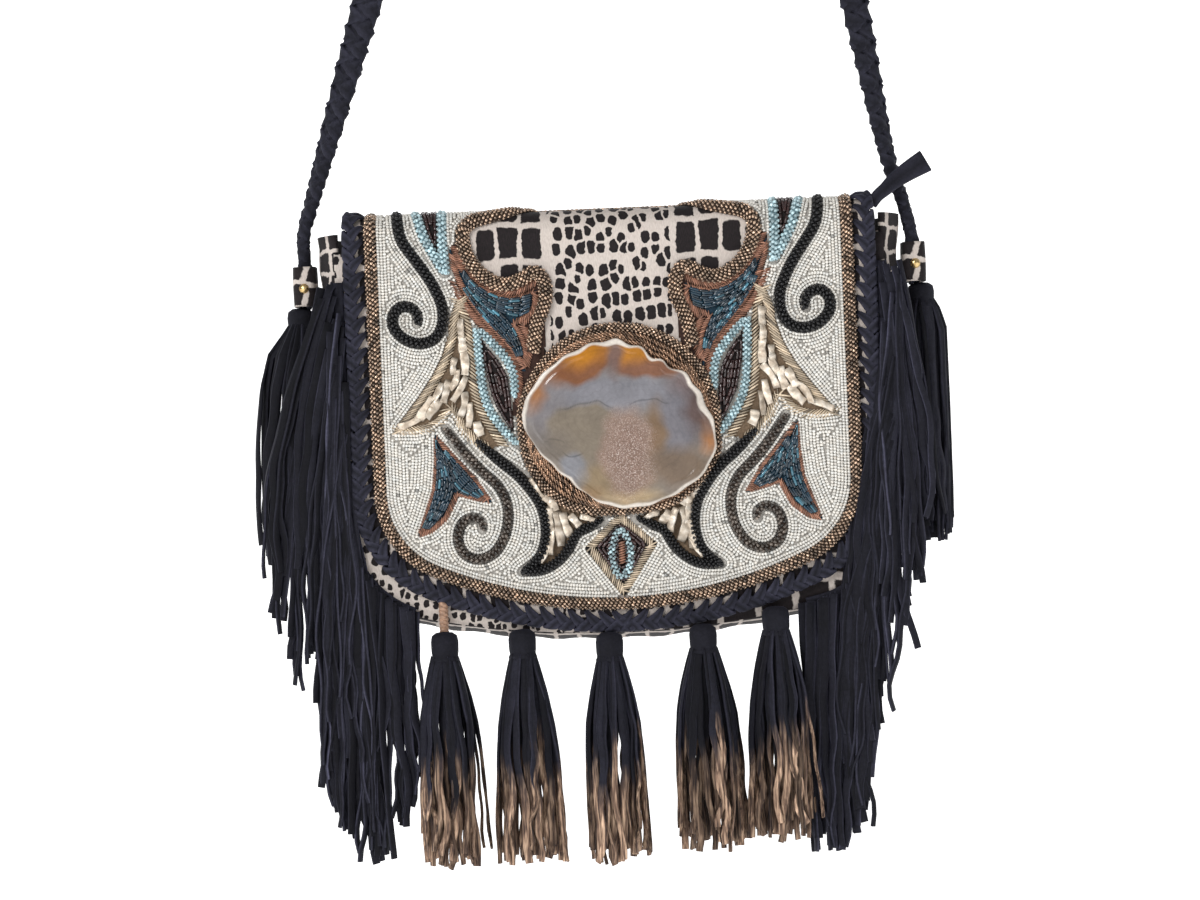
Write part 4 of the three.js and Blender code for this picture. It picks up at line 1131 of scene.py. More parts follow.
def gold_work():
    # Wires of a feather: chart, shift off it, width, pitch, slant, radius, lift
    wires = ((FEATHER_OUTER, -2.2, 4.2, 1.7, -1.6, 0.6, 1.7), (FEATHER_INNER, 2.0, 4.2, 1.7, 1.0, 0.6, 1.7),
             (FEATHER_UNDER, 0.0, 5.0, 1.6, -1.2, 0.5, 1.3))
    for side, hand in SIDES:
        build = Build()
        pad(build, feather_shape(side), 0.7, 1)
        for rows, shift, width, pitch, slant, radius, lift in wires:
            line = curve(charted(rows, side), 0.6)
            line = line - chart_frame(line)[1] * shift * side
            wire_band(build, line, width, pitch, slant * side, radius, lift, material=2)
        strips(build, FEATHER_STRIPS, side)
        build.make(f"gold_strips_{hand}", [GOLD, GOLD_CORE, GOLD_WIRE], f"gold_feather_{hand}")
        build = Build()
        pad(build, charted(FORK_OUTER[1:] + FORK_INNER[1:], side), 0.4, 1)
        strips(build, FAN_STRIPS, side)
        build.make(f"gold_fan_strips_{hand}", [GOLD, GOLD_CORE], f"gold_fan_{hand}")


# Printed hair-on hide

def hide_scales(tree, coords, wide, tall, loose, size, corner, start=(0, 0)):
    """Mask of rounded cells, each a little larger or smaller, that never touch."""
    place = node(tree, "ShaderNodeMapping", {"Vector": coords, "Scale": (1 / wide, 1 / tall, 1),
                                             "Location": (*start, 0)}).outputs[0]
    layout = {"Vector": place, "Scale": 1.0, "Randomness": loose}
    cell = node(tree, "ShaderNodeTexVoronoi", {**layout, "Exponent": corner}, voronoi_dimensions="2D",
                distance="MINKOWSKI")
    walls = node(tree, "ShaderNodeTexVoronoi", layout, voronoi_dimensions="2D", feature="DISTANCE_TO_EDGE")
    reach = maths(tree, "MULTIPLY_ADD", parts(tree, cell.outputs["Color"])[0], 0.5 * size, 0.75 * size)
    blob = ramp(tree, maths(tree, "SUBTRACT", reach, cell.outputs["Distance"]), (0.0, 0.0), (0.035, 1.0))
    gap = ramp(tree, walls.outputs["Distance"], (0.07, 0.0), (0.1, 1.0))
    return product(tree, blob, gap)


SPOTS_END = 18.0                       # the front panel has spots left of this and big dark blocks right of it, which darken its right side
STRIP_HALF, BLOCKS_START = 27.6, 29.0  # half the flap's strip of spots, and where its blocks start


def hide_material(name, kind):
    """Cream hide with a dark scale print: small spots, big blocks, or blocks beside a strip of spots."""
    material, tree, shader = new_material(name, linear(200, 188, 178), 0.75, sheen_weight=0.05,
                                          specular_ior_level=0.25)
    uv = node(tree, "ShaderNodeUVMap", uv_map="print").outputs["UV"]
    wobble = node(tree, "ShaderNodeTexNoise", {"Vector": uv, "Scale": 0.35, "Detail": 2.0}).outputs["Color"]
    shift = node(tree, "ShaderNodeVectorMath", {0: wobble, 1: (0.5, 0.5, 0.5)}, operation="SUBTRACT")
    scaled = node(tree, "ShaderNodeVectorMath", {0: shift.outputs[0], "Scale": 2.2}, operation="SCALE")
    moved = node(tree, "ShaderNodeVectorMath", {0: uv, 1: scaled.outputs[0]}, operation="ADD").outputs[0]
    across, down, _ = parts(tree, moved)
    if kind == "spots":
        spots = hide_scales(tree, moved, 3.9, 5.4, 0.7, 0.36, 2.6)
        blocks = hide_scales(tree, moved, 17.0, 23.0, 0.2, 0.7, 8.0)
        mask = mixed(tree, maths(tree, "GREATER_THAN", across, SPOTS_END), spots, blocks)
    elif kind == "blocks":
        mask = hide_scales(tree, moved, 14.0, 10.5, 0.25, 0.7, 8.0)
    else:
        away = maths(tree, "ABSOLUTE", across)
        folded = node(tree, "ShaderNodeCombineXYZ", {0: away, 1: down}).outputs[0]
        blocks = hide_scales(tree, folded, 10.5, 17.5, 0.12, 0.44, 4.5, (0.77, 0.89))
        spots = hide_scales(tree, moved, 5.0, 7.3, 0.7, 0.42, 2.4)
        spots = product(tree, spots, maths(tree, "LESS_THAN", away, STRIP_HALF))
        mask = mixed(tree, maths(tree, "GREATER_THAN", away, BLOCKS_START), spots, blocks)
    hair = node(tree, "ShaderNodeMapping", {"Vector": uv, "Scale": (2.2, 0.5, 1), "Rotation": (0, 0, 0.35)})
    strands = noise(tree, 1.0, 4, hair.outputs[0], 0.7)
    cream = ramp(tree, strands, (0.3, linear(180, 168, 160)), (0.6, linear(206, 196, 188)))
    dark = ramp(tree, strands, (0.3, linear(11, 8, 9)), (0.7, linear(36, 28, 30)))
    tree.links.new(mixed(tree, mask, cream, dark), shader.inputs["Base Color"])
    bump(tree, shader, strands, 0.3, 0.0004)
    return material


HIDE = hide_material("hide_print", "both")
HIDE_SPOTS = hide_material("hide_spots", "spots")
HIDE_BLOCKS = hide_material("hide_blocks", "blocks")
BACK_FOLD_Y = BACK_Y - FOLD
BACK_START = FOLD_END + BACK_FOLD_Y - FOLD_Y
BACK_FLAT = BACK_START + FOLD * math.pi / 2


def wrapped(x, v, lift=0.0):
    """The whole hide sheet: up the flap, over the top, then round the back fold and down."""
    x, v = np.broadcast_arrays(np.asarray(x, float), np.asarray(v, float))
    point = surface(x, np.minimum(v, BACK_START), lift)[0]
    turn = np.clip((v - BACK_START) / FOLD, 0, math.pi / 2)
    normal = np.stack([np.zeros_like(turn), np.sin(turn), np.cos(turn)], -1)
    back = np.stack([x, np.full_like(x, BACK_FOLD_Y), np.full_like(x, -FOLD)], -1) + normal * (FOLD + lift)
    back[..., 2] -= np.maximum(v - BACK_FLAT, 0)
    return np.where((v > BACK_START)[..., None], back, point)


def shell(build, outer, inner, material=0):
    """A sheet with thickness, from two grids of points and the walls round their edge."""
    rows, columns = outer.shape[:2]
    index = np.arange(rows * columns).reshape(rows, columns)
    rim = np.concatenate([index[0, :-1], index[:-1, -1], index[-1, :0:-1], index[:0:-1, 0]])
    after = np.roll(rim, -1)
    count = rows * columns
    walls = np.stack([after, rim, rim + count, after + count], -1)
    quads = grid_faces(rows, columns)
    build.add(np.concatenate([outer.reshape(-1, 3), inner.reshape(-1, 3)]),
              [quads, quads[:, ::-1] + count, walls], material)


def bottom_edge(size, offset, x):
    """Height of the lower edge of an outline at some widths."""
    half = outline(size, offset, 0)
    half = half[: len(half) // 2 + 1][1:]
    return np.interp(np.abs(x), half[::-1, 0], half[::-1, 1])


def both_faces(*flat):
    """Chart values of a shell's outer and inner points, for its print."""
    values = np.stack(np.broadcast_arrays(*flat), -1).reshape(-1, 2)
    return np.concatenate([values, values])


SHOULDER = 19.0                        # the back widens from the flap to the pouch over this drop


def hide_sheet():
    """The flap, the fold over the top and the back, in one sheet."""
    build = Build()
    share = np.sin(np.linspace(-math.pi / 2, math.pi / 2, 45))
    half = FLAP["half"] + EDGE
    x = share * half
    low = bottom_edge(FLAP, EDGE, x)
    front = low + (-FOLD - low) * np.linspace(0, 1, 30)[:, None]
    over = np.linspace(-FOLD, BACK_FLAT, 30)[1:-1, None] + 0 * x
    foot = -bottom_edge(BODY, 0, share * BODY["half"]) - FOLD
    drop = foot * np.linspace(0, 1, 34)[:, None] ** 1.15
    v = np.concatenate([front, over, BACK_FLAT + drop])
    widen = np.concatenate([0 * front, 0 * over, np.clip(drop / SHOULDER, 0, 1)]) * (BODY["half"] - half)
    across = share * (half + widen)
    shell(build, wrapped(across, v), wrapped(across, v, -WALL))
    piece = build.make("hide_sheet", [HIDE], "hide_back_flap", both_faces(across, v))


PANEL_TOP = -16.0


def front_panel():
    """The front of the pouch, below the flap."""
    build = Build()
    x = np.sin(np.linspace(-math.pi / 2, math.pi / 2, 41)) * BODY["half"]
    low = bottom_edge(BODY, 0, x)
    z = low + (PANEL_TOP - low) * np.linspace(0, 1, 24)[:, None]
    grid = np.stack(np.broadcast_arrays(x, PANEL_Y, z), -1)
    shell(build, grid, grid + [0, WALL, 0])
    piece = build.make("hide_front", [HIDE_SPOTS], "front_panel", both_faces(x, z))


GUSSET_TOP = -7.0
GUSSET_EDGE = 19.7                    # half its depth, from seam to seam
GUSSET_STEP = 5.0
BULGE_SIDE, BULGE_BOTTOM = 9.5, 4.0


def gusset():
    """One strip down the side, along the bottom and up the other side, bulging between its seams."""
    build = Build()
    path = resampled(outline(BODY, -WALL, GUSSET_TOP), GUSSET_STEP)
    side = chart_frame(path)[1]
    out = np.insert(-side, 1, 0, axis=1)[:, None]
    share = np.linspace(0, 1, len(path))
    bulge = BULGE_SIDE + (BULGE_BOTTOM - BULGE_SIDE) * np.sin(math.pi * share) ** 0.6
    s = np.linspace(-1, 1, 17)
    crease = 0.5 * np.sin(share * 150)
    reach = (bulge + crease)[:, None] * (1 - s**2)
    base = np.stack(np.broadcast_arrays(path[:, :1], s * GUSSET_EDGE, path[:, 1:]), -1)
    outer = base + out * (reach + WALL)[..., None]
    shell(build, outer, base + out * reach[..., None])
    run = share * GUSSET_STEP * len(path)
    piece = build.make("hide_gusset", [HIDE_BLOCKS], "gusset", both_faces(s * 23.0, run[:, None]))


SLEEVE_X, SLEEVE_TOP, SLEEVE_LOW = 139.4, -20.0, -38.0
SLEEVE_OUTER, SLEEVE_INNER = (5.3, 8.4), (3.9, 7.0)    # half width, half depth
SLEEVE_SQUARE = 0.55                   # 1 makes a sleeve round, less squares it
STUD_Y, STUD_Z, STUD_SIDES = -8.45, -30.0, 20
STUD_ROWS = [(0.0, 1.7), (0.7, 1.66), (1.4, 1.4), (1.95, 0.95), (2.25, 0.4), (2.3, 0.0)]    # radius, height


def sleeve_wall(side, wide, deep):
    """A rounded square tube, slightly swollen halfway, as a grid of points."""
    turn = np.linspace(2 * math.pi, 0, 33)
    cos, sin = np.cos(turn), np.sin(turn)
    z = np.linspace(SLEEVE_LOW, SLEEVE_TOP, 9)[:, None]
    swell = 0.04 * np.sin((z - SLEEVE_LOW) / (SLEEVE_TOP - SLEEVE_LOW) * math.pi)
    x = SLEEVE_X * side + wide * (np.sign(cos) * np.abs(cos) ** SLEEVE_SQUARE + swell * cos)
    y = -deep * np.sign(sin) * np.abs(sin) ** SLEEVE_SQUARE * (1 + swell)
    return np.stack(np.broadcast_arrays(x, y, z), -1)


def sleeves():
    for side, hand in SIDES:
        build = Build()
        outer = sleeve_wall(side, *SLEEVE_OUTER)
        shell(build, outer, sleeve_wall(side, *SLEEVE_INNER))
        print_at = both_faces(run_along(outer[0]) * 0.9 + 3, outer[:, :1, 2] * 0.9)
        build.make(f"hide_sleeve_{hand}", [HIDE_BLOCKS], f"strap_sleeve_{hand}", print_at)
        stud = Build()
        dome = [np.insert(ring(STUD_SIDES, r, r) + [SLEEVE_X * side, STUD_Z], 1, STUD_Y - h, axis=1)
                for r, h in STUD_ROWS]
        foot = np.arange(STUD_SIDES)[None, ::-1] + STUD_SIDES * (len(STUD_ROWS) - 1)
        stud.add(np.concatenate(dome), [grid_faces(len(STUD_ROWS), STUD_SIDES, wrap=True)[:, ::-1], foot])
        stud.make(f"stud_{hand}", [STUD], f"rivet_{hand}")


def stud_material():
    """Gold metal, a little rubbed."""
    material, tree, shader = new_material("stud_gold", linear(214, 184, 128), 0.25, 1.0)
    wear = noise(tree, 900, 3)
    tone = ramp(tree, wear, (0.3, linear(170, 140, 92)), (0.6, linear(226, 198, 142)))
    tree.links.new(tone, shader.inputs["Base Color"])
    tree.links.new(ramp(tree, wear, (0.3, 0.2), (0.7, 0.4)), shader.inputs["Roughness"])
    return material


STUD = stud_material()


# Suede: lacing, strap, fringe and tassels

def suede_material():
    """Black suede with a blue cast; the tint's alpha turns it to rubbed gold-brown at the tassels' ends."""
    material, tree, shader = new_material(
        "suede", linear(24, 24, 31), 0.85, specular_ior_level=0.2, sheen_weight=0.1, sheen_roughness=0.5,
        sheen_tint=(*linear(120, 124, 150), 1))
    nap = noise(tree, 700, 4, roughness=0.7)
    black = mixed(tree, noise(tree, 90, 2), linear(15, 15, 20), linear(30, 30, 39))
    black = product(tree, black, ramp(tree, nap, (0.3, 0.7), (0.7, 1.3)))
    place = node(tree, "ShaderNodeTexCoord").outputs["Object"]
    drawn = node(tree, "ShaderNodeMapping", {"Vector": place, "Scale": (900, 900, 70)}).outputs[0]
    streaks = noise(tree, 1.0, 3, drawn, 0.6)
    rubbed = ramp(tree, streaks, (0.3, linear(50, 39, 34)), (0.5, linear(114, 92, 77)),
                  (0.7, linear(188, 160, 136)))
    paint = node(tree, "ShaderNodeVertexColor", layer_name="tint")
    patchy = ramp(tree, streaks, (0.3, 0.45), (0.6, 1.3))
    worn = maths(tree, "MULTIPLY", paint.outputs["Alpha"], patchy, use_clamp=True)
    base = product(tree, mixed(tree, worn, black, rubbed), paint.outputs["Color"])
    tree.links.new(base, shader.inputs["Base Color"])
    bump(tree, shader, nap, 0.35, 0.0005)
    return material


SUEDE = suede_material()
CUT_EDGE_AND_HIGHLIGHT, GOLD_EDGE = 2.2, 0.45          # shade of a strip's cut edges, black and gold: paler on black, partly as painted highlight, and darker on gold


def ribbon(build, line, face, width, thick, shade=1.0, ombre=0.0, section=STRIP, pale=CUT_EDGE_AND_HIGHLIGHT):
    """A flat strip along a line, its cut edges paler on black, partly as painted highlight, and darker on
    gold; face is the way its flat side looks at each point.
    """
    forward = unit(np.gradient(line, axis=0))
    across = unit(np.cross(face, forward))
    up = np.cross(forward, across)
    count = len(line)
    size = np.stack([np.broadcast_to(width, count), np.broadcast_to(thick, count)], -1)
    tint = np.empty((count, len(section), 4))
    ombre = np.broadcast_to(ombre, count)[:, None]
    edge = pale + (GOLD_EDGE - pale) * ombre
    tint[..., :3] = (shade * np.where(np.abs(section[:, 0]) > 0.39, edge, 1.0))[..., None]
    tint[..., 3] = ombre
    tube(build, line, across, up, section[None] * size[:, None], 0, tint)


# The lacing's cut edges are paler, partly as painted highlight.
LACE_PITCH, LACE_EDGE_AND_HIGHLIGHT = 6.9, 3.4
# One stitch, in two limbs: run along the edge, distance out from the border's line, lift, width
OUTER_LIMB = [(0.0, 9.3, -1.5, 4.6), (0.4, 11.9, -0.6, 5.0), (1.6, 11.8, 1.5, 5.2),
              (3.6, 10.2, 2.3, 5.0), (5.8, 8.2, 2.0, 4.4)]
INNER_LIMB = [(0.0, 3.4, 0.3, 2.0), (0.7, 4.2, 1.2, 2.6), (2.4, 6.2, 2.2, 3.8), (4.6, 8.2, 2.5, 4.8),
              (6.2, 9.4, 1.8, 4.4)]


def lacing():
    """Suede laced round the flap's edge in downward chevrons."""
    build = Build()
    half = outline(FLAP, EDGE, GROUND_TOP)
    base = resampled(half[: len(half) // 2 + 1], 0.5)
    out = -chart_frame(base)[1]
    run = np.arange(len(base)) * 0.5
    limbs = ((OUTER_LIMB, 0.0), (INNER_LIMB, LACE_PITCH / 2))
    stitches = [(side, k, limb, lag) for side, _ in SIDES for k in range(int(run[-1] / LACE_PITCH) + 1)
                for limb, lag in limbs]
    for side, k, limb, lag in stitches:
        rows = curve(np.array(limb) + [0.25 * rng.standard_normal(), 0, 0, 0], 1.3)
        ahead, outward, lift, width = rows.T
        s = np.clip(k * LACE_PITCH - lag + ahead, -1.5, run[-1] + 4)
        x, v, out_x, out_v = (np.interp(s, run, column) for column in (*base.T, *out.T))
        past = np.maximum(s - run[-1], 0)
        x = (x + out_x * (outward - EDGE) - past) * side
        place, normal = surface(x, v + out_v * (outward - EDGE), lift)
        away = np.stack([out_x * side, 0 * x, out_v], -1)
        tip = np.clip((outward - 10.4) / 1.4, 0, 1)[:, None]
        face = unit(normal * (1 - 0.75 * tip) + away * tip)
        ribbon(build, place, face, width, 1.5, 0.85 + 0.35 * rng.random(), 0, BAND, LACE_EDGE_AND_HIGHLIGHT)
    build.make("suede_lacing", [SUEDE], "flap_lacing")


TAIL_ROWS = [(119.6, -18.2, -3.4, 5.0), (122.4, -17.6, 0.4, 5.6), (126.4, -15.6, 3.6, 6.2),
             (131, -11.4, 7.5, 7.4), (138, -10.2, 12, 9.0), (146, -9.6, 16.4, 10.6)]


def lacing_tail():
    """The lacing's free end, up and out at the right."""
    build = Build()
    rows = curve(TAIL_ROWS, 1.6)
    face = np.tile([0.15, -1.0, 0.1], (len(rows), 1))
    ribbon(build, rows[:, :3], face, rows[:, 3], 1.7, 1.0, 0, BAND)
    build.make("suede_tail", [SUEDE], "lacing_tail")


# Strap's way in the plane of the bag: x, z, twist of its flat side in degrees
STRAP_LEFT = [(-139.4, -37.5, 0), (-139.4, -20, 0), (-139.3, -5, 12), (-135.2, 9.2, 25),
              (-106.8, 97.6, 70), (-62, 234, 80), (-14, 376, 25)]
STRAP_RIGHT = [(72.6, 347, 25), (92.5, 234, 85), (118, 88.3, 60), (130.4, 16.8, 25), (135.5, 0, 12),
               (139.4, -20, 0), (139.4, -37.5, 0)]
APEX_X, APEX_Z, APEX_RADIUS = 30.7, 423.7, 28.0
APEX_ANGLES = (162, 126, 90, 50, 10)
BRAID_TURN = 19.0                      # length of one turn of a strand
BRAID_HALF = (4.0, 2.0)                # how far strands swing out, across and up
BRAID_STRAND, BRAID_CORE = (6.0, 2.4), (8.4, 3.6)    # width and thickness
STRAP_GIRTH = ([-38, 10, 60, 110], [0.95, 0.9, 1.15, 1.4])    # heights, and how full the braid is there


def strap():
    """Four flat strands of suede braided round each other."""
    build = Build()
    apex = [(APEX_X + APEX_RADIUS * math.cos(turn), APEX_Z + APEX_RADIUS * math.sin(turn), 25)
            for turn in np.radians(APEX_ANGLES)]
    rows = curve(STRAP_LEFT + apex + STRAP_RIGHT, 1.9)
    centre = np.stack([rows[:, 0], np.zeros(len(rows)), rows[:, 1]], -1)
    along = unit(np.gradient(centre, axis=0))
    plane = np.stack([along[:, 2], np.zeros(len(rows)), -along[:, 0]], -1)
    twist = np.radians(rows[:, 2])[:, None]
    depth = np.array([0.0, 1.0, 0.0])
    up = plane * np.cos(twist) + depth * np.sin(twist)
    across = np.cross(up, along)
    run = run_along(centre)
    bushy = np.interp(rows[:, 1], *STRAP_GIRTH)
    for strand in range(4):
        hand = 1 if strand % 2 == 0 else -1
        start = math.pi * (strand // 2) + (0 if hand > 0 else math.pi / 2)
        angle = hand * 2 * math.pi * run / BRAID_TURN + start
        weave = 0.55 * hand * np.cos(4 * math.pi * run / BRAID_TURN)
        wide = (BRAID_HALF[0] + weave) * bushy * np.cos(angle)
        high = (BRAID_HALF[1] + weave) * np.sin(angle)
        line = centre + across * wide[:, None] + up * high[:, None]
        face = unit(across * (np.cos(angle) * 0.55)[:, None] + up * np.sin(angle)[:, None])
        ribbon(build, line, face, BRAID_STRAND[0] * bushy, BRAID_STRAND[1], 0.85 + 0.1 * strand, 0, BAND)
    ribbon(build, centre, up, BRAID_CORE[0] * bushy, BRAID_CORE[1], 0.7, 0, BAND)
    build.make("suede_strap", [SUEDE], "strap")


STRAND_STATIONS, STRAND_THICK = 24, 1.3


def ripple(t, size):
    """Short waves along a strip, stronger towards its free end."""
    waves = 2.2 + 2.6 * rng.random()
    return size * (0.5 + rng.random()) * np.sin(2 * math.pi * (waves * t + rng.random())) * t


# Fringe down each side: height of the seam, least and most drift outwards, length of the strand
FRINGE_ROWS = {
    "left": [(-29, 8, 33, 132), (-60, 2, 29, 136), (-100, -10, 17, 136), (-135, -12, 13, 134),
             (-160, -6, 9, 128), (-170, -4, 8, 122), (-176, -2, 2, 84), (-179, -1, 2, 66)],
    "right": [(-29, -8, 17, 112), (-45, -14, 12, 120), (-60, -20, 4, 130), (-100, -30, -9, 130),
              (-135, -28, -16, 126), (-160, -16, -11, 122), (-170, -12, -7, 120), (-178, -6, -3, 116),
              (-182, -1, 0, 112)]}
FRINGE_TOP = -29.0
FRINGE_ENDS = {"left": -179.0, "right": -182.0}
# The fringe's cut edges are paler, partly as painted highlight.
FRINGE_STRANDS, FRINGE_EDGE_AND_HIGHLIGHT = 170, 3.6
FRINGE_OUTSET = ([29, 120, 165], [10, 3, 0])    # depths below the top, and how far out strands start there
FRINGE_LAYERS = (-23.0, -24.6, -26.2, -27.6)
STRAY = 12                             # every so many strands, one hangs crooked


def fringe():
    """Strands hung in layers from each side seam, and a strip along the seam."""
    half = outline(BODY, -1.6, FRINGE_TOP)
    whole = resampled(half[: len(half) // 2 + 1], 1.0)
    t = np.linspace(0, 1, STRAND_STATIONS)
    for side, hand in SIDES:
        build = Build()
        rows = np.array(FRINGE_ROWS[hand])
        seam = whole[whole[:, 1] > FRINGE_ENDS[hand]]
        for k in range(FRINGE_STRANDS):
            spot = seam[int((k + 0.5) / FRINGE_STRANDS * (len(seam) - 1))]
            least, most, length = (np.interp(-spot[1], -rows[:, 0], rows[:, n]) for n in (1, 2, 3))
            stray = k % STRAY == STRAY // 2
            drift = least + (most - least) * rng.random() ** 0.7
            drift = drift + rng.standard_normal() * (3 if stray else 1)
            length = length * (1 - 0.06 * abs(rng.standard_normal()) + 0.04 * stray)
            sway = (1.0 + 2.2 * rng.random()) * (2 if stray else 1)
            wave = sway * np.sin(2 * math.pi * (t * (0.6 + 0.9 * rng.random()) + rng.random())) * t
            start = spot[0] - 2 * rng.random() + rng.random() * np.interp(-spot[1], *FRINGE_OUTSET)
            x = start + drift * (1 - (1 - t) ** 2.2) + wave + ripple(t, 0.9)
            y = FRINGE_LAYERS[k % 4] + 0.9 * np.sin(3.0 * t + 6 * rng.random()) * t
            z = spot[1] - length * t
            turn = 0.45 * rng.standard_normal() + 0.9 * rng.standard_normal() * t
            face = np.stack([np.sin(turn) * side, -np.cos(turn), np.zeros(len(t))], -1)
            width = (2.9 + 1.7 * rng.random()) * (1 - 0.1 * t)
            # A random tone for each strand; about one in ten is doubled as a painted highlight.
            shade = (0.45 + 0.9 * rng.random()) * (2.0 if rng.random() < 0.1 else 1)
            ribbon(build, np.stack([x * side, y, z], -1), face, width, STRAND_THICK, shade, pale=FRINGE_EDGE_AND_HIGHLIGHT)
        edge = np.stack([seam[:, 0] * side, np.full(len(seam), -23.6), seam[:, 1]], -1)[::3]
        ribbon(build, edge, np.tile([0, -1.0, 0], (len(edge), 1)), 4.6, 1.8, 0.9, 0, BAND)
        build.make(f"suede_fringe_{hand}", [SUEDE], f"fringe_{hand}")


# Tassels from the left: middle, top of the head, length
TASSELS = [(-81, -187.6, 105), (-46, -187.8, 105), (-7, -190.7, 103), (35, -188.8, 101),
           (68, -182.2, 105)]
TASSEL_Y = -28.7


def tassel_head(build, x, y, top, radius, height, deep=1.0):
    """A smooth suede cap, bound at its foot."""
    rows = [(0.05, 0.0), (0.6, -0.4), (0.92, -1.8), (1.0, -4.5), (0.98, -height * 0.7),
            (0.93, -height * 0.86), (1.04, -height * 0.95), (1.0, -height), (0.6, -height - 0.4)]
    sides = 24
    pleat = 1 + 0.025 * np.sin(7 * np.linspace(0, 2 * math.pi, sides, endpoint=False) + x)
    circle = ring(sides, radius, radius * deep) * pleat[:, None]
    rings = [np.insert(circle * r + [x, y], 2, top + drop, axis=1) for r, drop in rows]
    crown = np.arange(sides)[None]
    foot = crown[:, ::-1] + sides * (len(rows) - 1)
    walls = grid_faces(len(rows), sides, wrap=True)[:, ::-1]
    build.add(np.concatenate(rings), [walls, crown, foot], 0, (1, 1, 1, 0))


def tassel_skirt(build, x, y, top, profile, strands, length, ombre, width, lean=0.0, deep=1.0):
    """Strips that hang round a head, in two layers; profile gives radius against share of the length."""
    t = np.linspace(0, 1, STRAND_STATIONS)
    shares, radii = np.array(profile).T
    for k in range(strands):
        angle = 2 * math.pi * (k + 0.4 * rng.random()) / strands * (2 if k % 2 else 1)
        inner = 0.72 if k % 3 == 0 else 1.0
        reach = np.interp(t, shares, radii) * inner * (1 + 0.16 * rng.standard_normal() * t)
        swing = angle + 0.3 * rng.standard_normal() * t + 0.14 * np.sin(6 * t + 6 * rng.random()) * t
        swing = swing + ripple(t, 0.1)
        fall = length * (1 - 0.06 * abs(rng.standard_normal()))
        drift = lean * (1 - (1 - t) ** 2)
        line = np.stack([x + reach * np.cos(swing) + drift, y + reach * deep * np.sin(swing),
                         top - fall * t], -1)
        turn = swing + 0.4 * rng.standard_normal() + 0.6 * rng.standard_normal() * t
        face = np.stack([np.cos(turn), np.sin(turn), np.zeros(len(t))], -1)
        gold = np.zeros(len(t))
        if ombre:
            start = ombre + 6.0 * rng.standard_normal()
            gold = np.clip((fall * t - (fall - start)) / 18.0, 0, 1)
        wide = width * (0.8 + 0.4 * rng.random())
        ribbon(build, line, face, wide, STRAND_THICK, 0.4 + 1.3 * rng.random() ** 1.3, gold)


# Skirts: share of the length, radius there
TASSEL_SKIRT = [(0, 4.8), (0.07, 6.6), (0.2, 9.4), (0.34, 11.4), (0.5, 12.2), (1, 12.8)]
STRAP_SKIRTS = {"left": [(0, 4.6), (0.04, 7), (0.13, 12.2), (0.28, 13.6), (0.6, 12.4), (1, 10)],
                "right": [(0, 4.6), (0.05, 7.4), (0.13, 9.6), (0.5, 9.4), (1, 8.8)]}
STRAP_LEANS = {"left": -10.0, "right": 0.0}
TASSEL_HEAD, STRAP_HEAD = (6.2, 13), (6, 10, 1.1)    # radius and height of a head, and its depth by its width
TASSEL_NECK = 11.0                     # a skirt starts this far below the top of its head
TASSEL_GOLD = 44.0                     # length of the gold ends
STRAP_TASSEL_X, STRAP_TASSEL_TOP, STRAP_SKIRT_TOP, STRAP_SKIRT_LENGTH = 142.4, -38.3, -46.5, 111


def tassels():
    for number, (x, top, length) in enumerate(TASSELS, 1):
        build = Build()
        tassel_head(build, x, TASSEL_Y, top, *TASSEL_HEAD)
        tassel_skirt(build, x, TASSEL_Y, top - TASSEL_NECK, TASSEL_SKIRT, 42, length - TASSEL_NECK,
                     TASSEL_GOLD, 3.3)
        build.make(f"suede_tassel_{number}", [SUEDE], f"tassel_{number}")
    for side, hand in SIDES:
        build = Build()
        x = STRAP_TASSEL_X * side
        tassel_head(build, x, 0, STRAP_TASSEL_TOP, *STRAP_HEAD)
        tassel_skirt(build, x, 0, STRAP_SKIRT_TOP, STRAP_SKIRTS[hand], 50, STRAP_SKIRT_LENGTH, 0, 3.8,
                     STRAP_LEANS[hand], 1.1)
        build.make(f"suede_strap_tassel_{hand}", [SUEDE], f"strap_tassel_{hand}")


CORD_X, CORD_Y, CORD_TOP, CORD_LENGTH = -81.0, -25.6, -174.6, 13.4
CORD_TURNS, CORD_STRAND = 3.5, 1.2     # twists of the cord, radius of a strand


def tassel_cord():
    """Twisted gold cord above the left tassel."""
    build = Build()
    drop = np.linspace(0, 1, 40)
    middle = np.stack(np.broadcast_arrays(CORD_X, CORD_Y, CORD_TOP - CORD_LENGTH * drop), -1)
    for strand in range(2):
        angle = 2 * math.pi * CORD_TURNS * drop + math.pi * strand
        out = np.stack([np.cos(angle), np.sin(angle), 0 * angle], -1)
        line = middle + 1.05 * out
        forward = unit(np.gradient(line, axis=0))
        up = unit(np.cross(forward, out))
        tube(build, line, unit(np.cross(up, forward)), up, ring(8, CORD_STRAND, CORD_STRAND))
    build.make("gold_cord", [CORD], "tassel_cord")


# Stage, light and camera

VIEW_X, VIEW_Z = -7.7, -109.1      # point of the flap at the middle of the picture
VIEW_AWAY = 1250.0                 # from the camera to the flap
VIEW_WIDTH = 540.0                 # width of the picture at the flap
VIEW_ROLL = math.radians(2.4)
SENSOR = 36.0
FLOOR_Z = CAD_BOX[0].z - 0.05
SWEEP_BACK, SWEEP_BEND, SWEEP_HIGH, SWEEP_HALF = 3.6, 1.0, 4.0, 14.0    # in metres


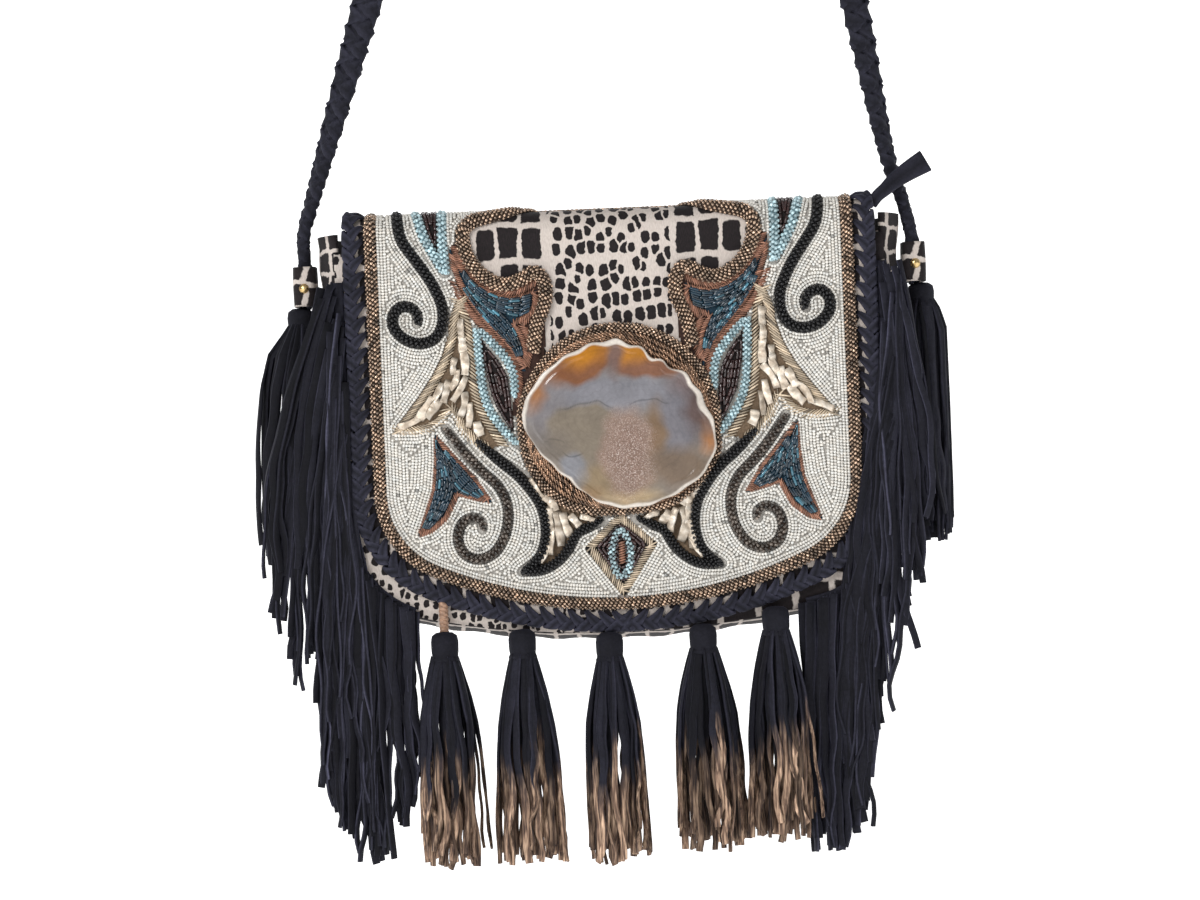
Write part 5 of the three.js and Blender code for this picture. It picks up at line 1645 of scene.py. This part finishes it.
def stage():
    """A plain white sweep of paper: floor, bend and wall."""
    arc = np.linspace(0, math.pi / 2, 13)
    start = SWEEP_BACK - SWEEP_BEND
    bend = [(start + SWEEP_BEND * math.sin(turn), SWEEP_BEND * (1 - math.cos(turn))) for turn in arc]
    profile = [(-SWEEP_HALF, 0.0)] + bend + [(SWEEP_BACK, SWEEP_HIGH)]
    verts = [(x, y, FLOOR_Z + z) for y, z in profile for x in (-SWEEP_HALF, SWEEP_HALF)]
    faces = [(2 * i, 2 * i + 1, 2 * i + 3, 2 * i + 2) for i in range(len(profile) - 1)]
    mesh = bpy.data.meshes.new("studio_sweep")
    mesh.from_pydata(verts, [], faces)
    mesh.polygons.foreach_set("use_smooth", [True] * len(faces))
    material, tree, shader = new_material("studio_paper", (0.93, 0.93, 0.93), 0.95, emission_strength=0.8,
                                          emission_color=(1, 1, 1, 1))
    tree.links.new(ramp(tree, noise(tree, 3, 2), (0.3, 0.92), (0.7, 0.95)), shader.inputs["Base Color"])
    mesh.materials.append(material)
    sweep = bpy.data.objects.new("studio_sweep", mesh)
    bpy.context.scene.collection.objects.link(sweep)


def area_light(name, place, aim, size, power):
    data = bpy.data.lights.new(name, "AREA")
    data.shape = "DISK"
    data.size = size
    data.energy = power
    light = bpy.data.objects.new(name, data)
    light.location = place
    light.rotation_euler = (Vector(aim) - Vector(place)).to_track_quat("-Z", "Y").to_euler()
    bpy.context.scene.collection.objects.link(light)


# Lights: name, place from the middle of the picture in metres, size, power
LIGHTS = [("key", (-0.9, -1.7, 0.8), 0.6, 20), ("fill", (1.3, -1.5, -0.2), 1.0, 3),
          ("front", (-0.2, -1.9, -0.9), 0.6, 16)]
WORLD_LIGHT = 0.34


def lights():
    aim = metres([VIEW_X, 0, VIEW_Z])
    for name, offset, size, power in LIGHTS:
        area_light(name, aim + offset, aim, size, power)
    world = bpy.data.worlds.new("studio")
    world.use_nodes = True
    sky = world.node_tree.nodes["Background"]
    sky.inputs["Color"].default_value = (1, 1, 1, 1)
    sky.inputs["Strength"].default_value = WORLD_LIGHT
    bpy.context.scene.world = world
    bpy.context.scene.view_settings.view_transform = "Standard"


def camera():
    data = bpy.data.cameras.new("camera")
    data.sensor_width = SENSOR
    data.lens = SENSOR * VIEW_AWAY / VIEW_WIDTH
    view = bpy.data.objects.new("camera", data)
    up = Vector((math.sin(VIEW_ROLL), 0, math.cos(VIEW_ROLL)))
    ahead = Vector((0, 1, 0))
    right = ahead.cross(up)
    turn = Matrix((right, up, -ahead)).transposed().to_4x4()
    view.matrix_world = Matrix.Translation(metres([VIEW_X, FACE_Y - VIEW_AWAY, VIEW_Z])) @ turn
    bpy.context.scene.collection.objects.link(view)
    bpy.context.scene.camera = view


camera()
lights()
stage()
border()
rolls()
sky_motifs()
blue_motifs()
lozenge()
white_ground()
collar()
agate()
gold_work()
hide_sheet()
front_panel()
gusset()
sleeves()
lacing()
lacing_tail()
strap()
fringe()
tassels()
tassel_cord()
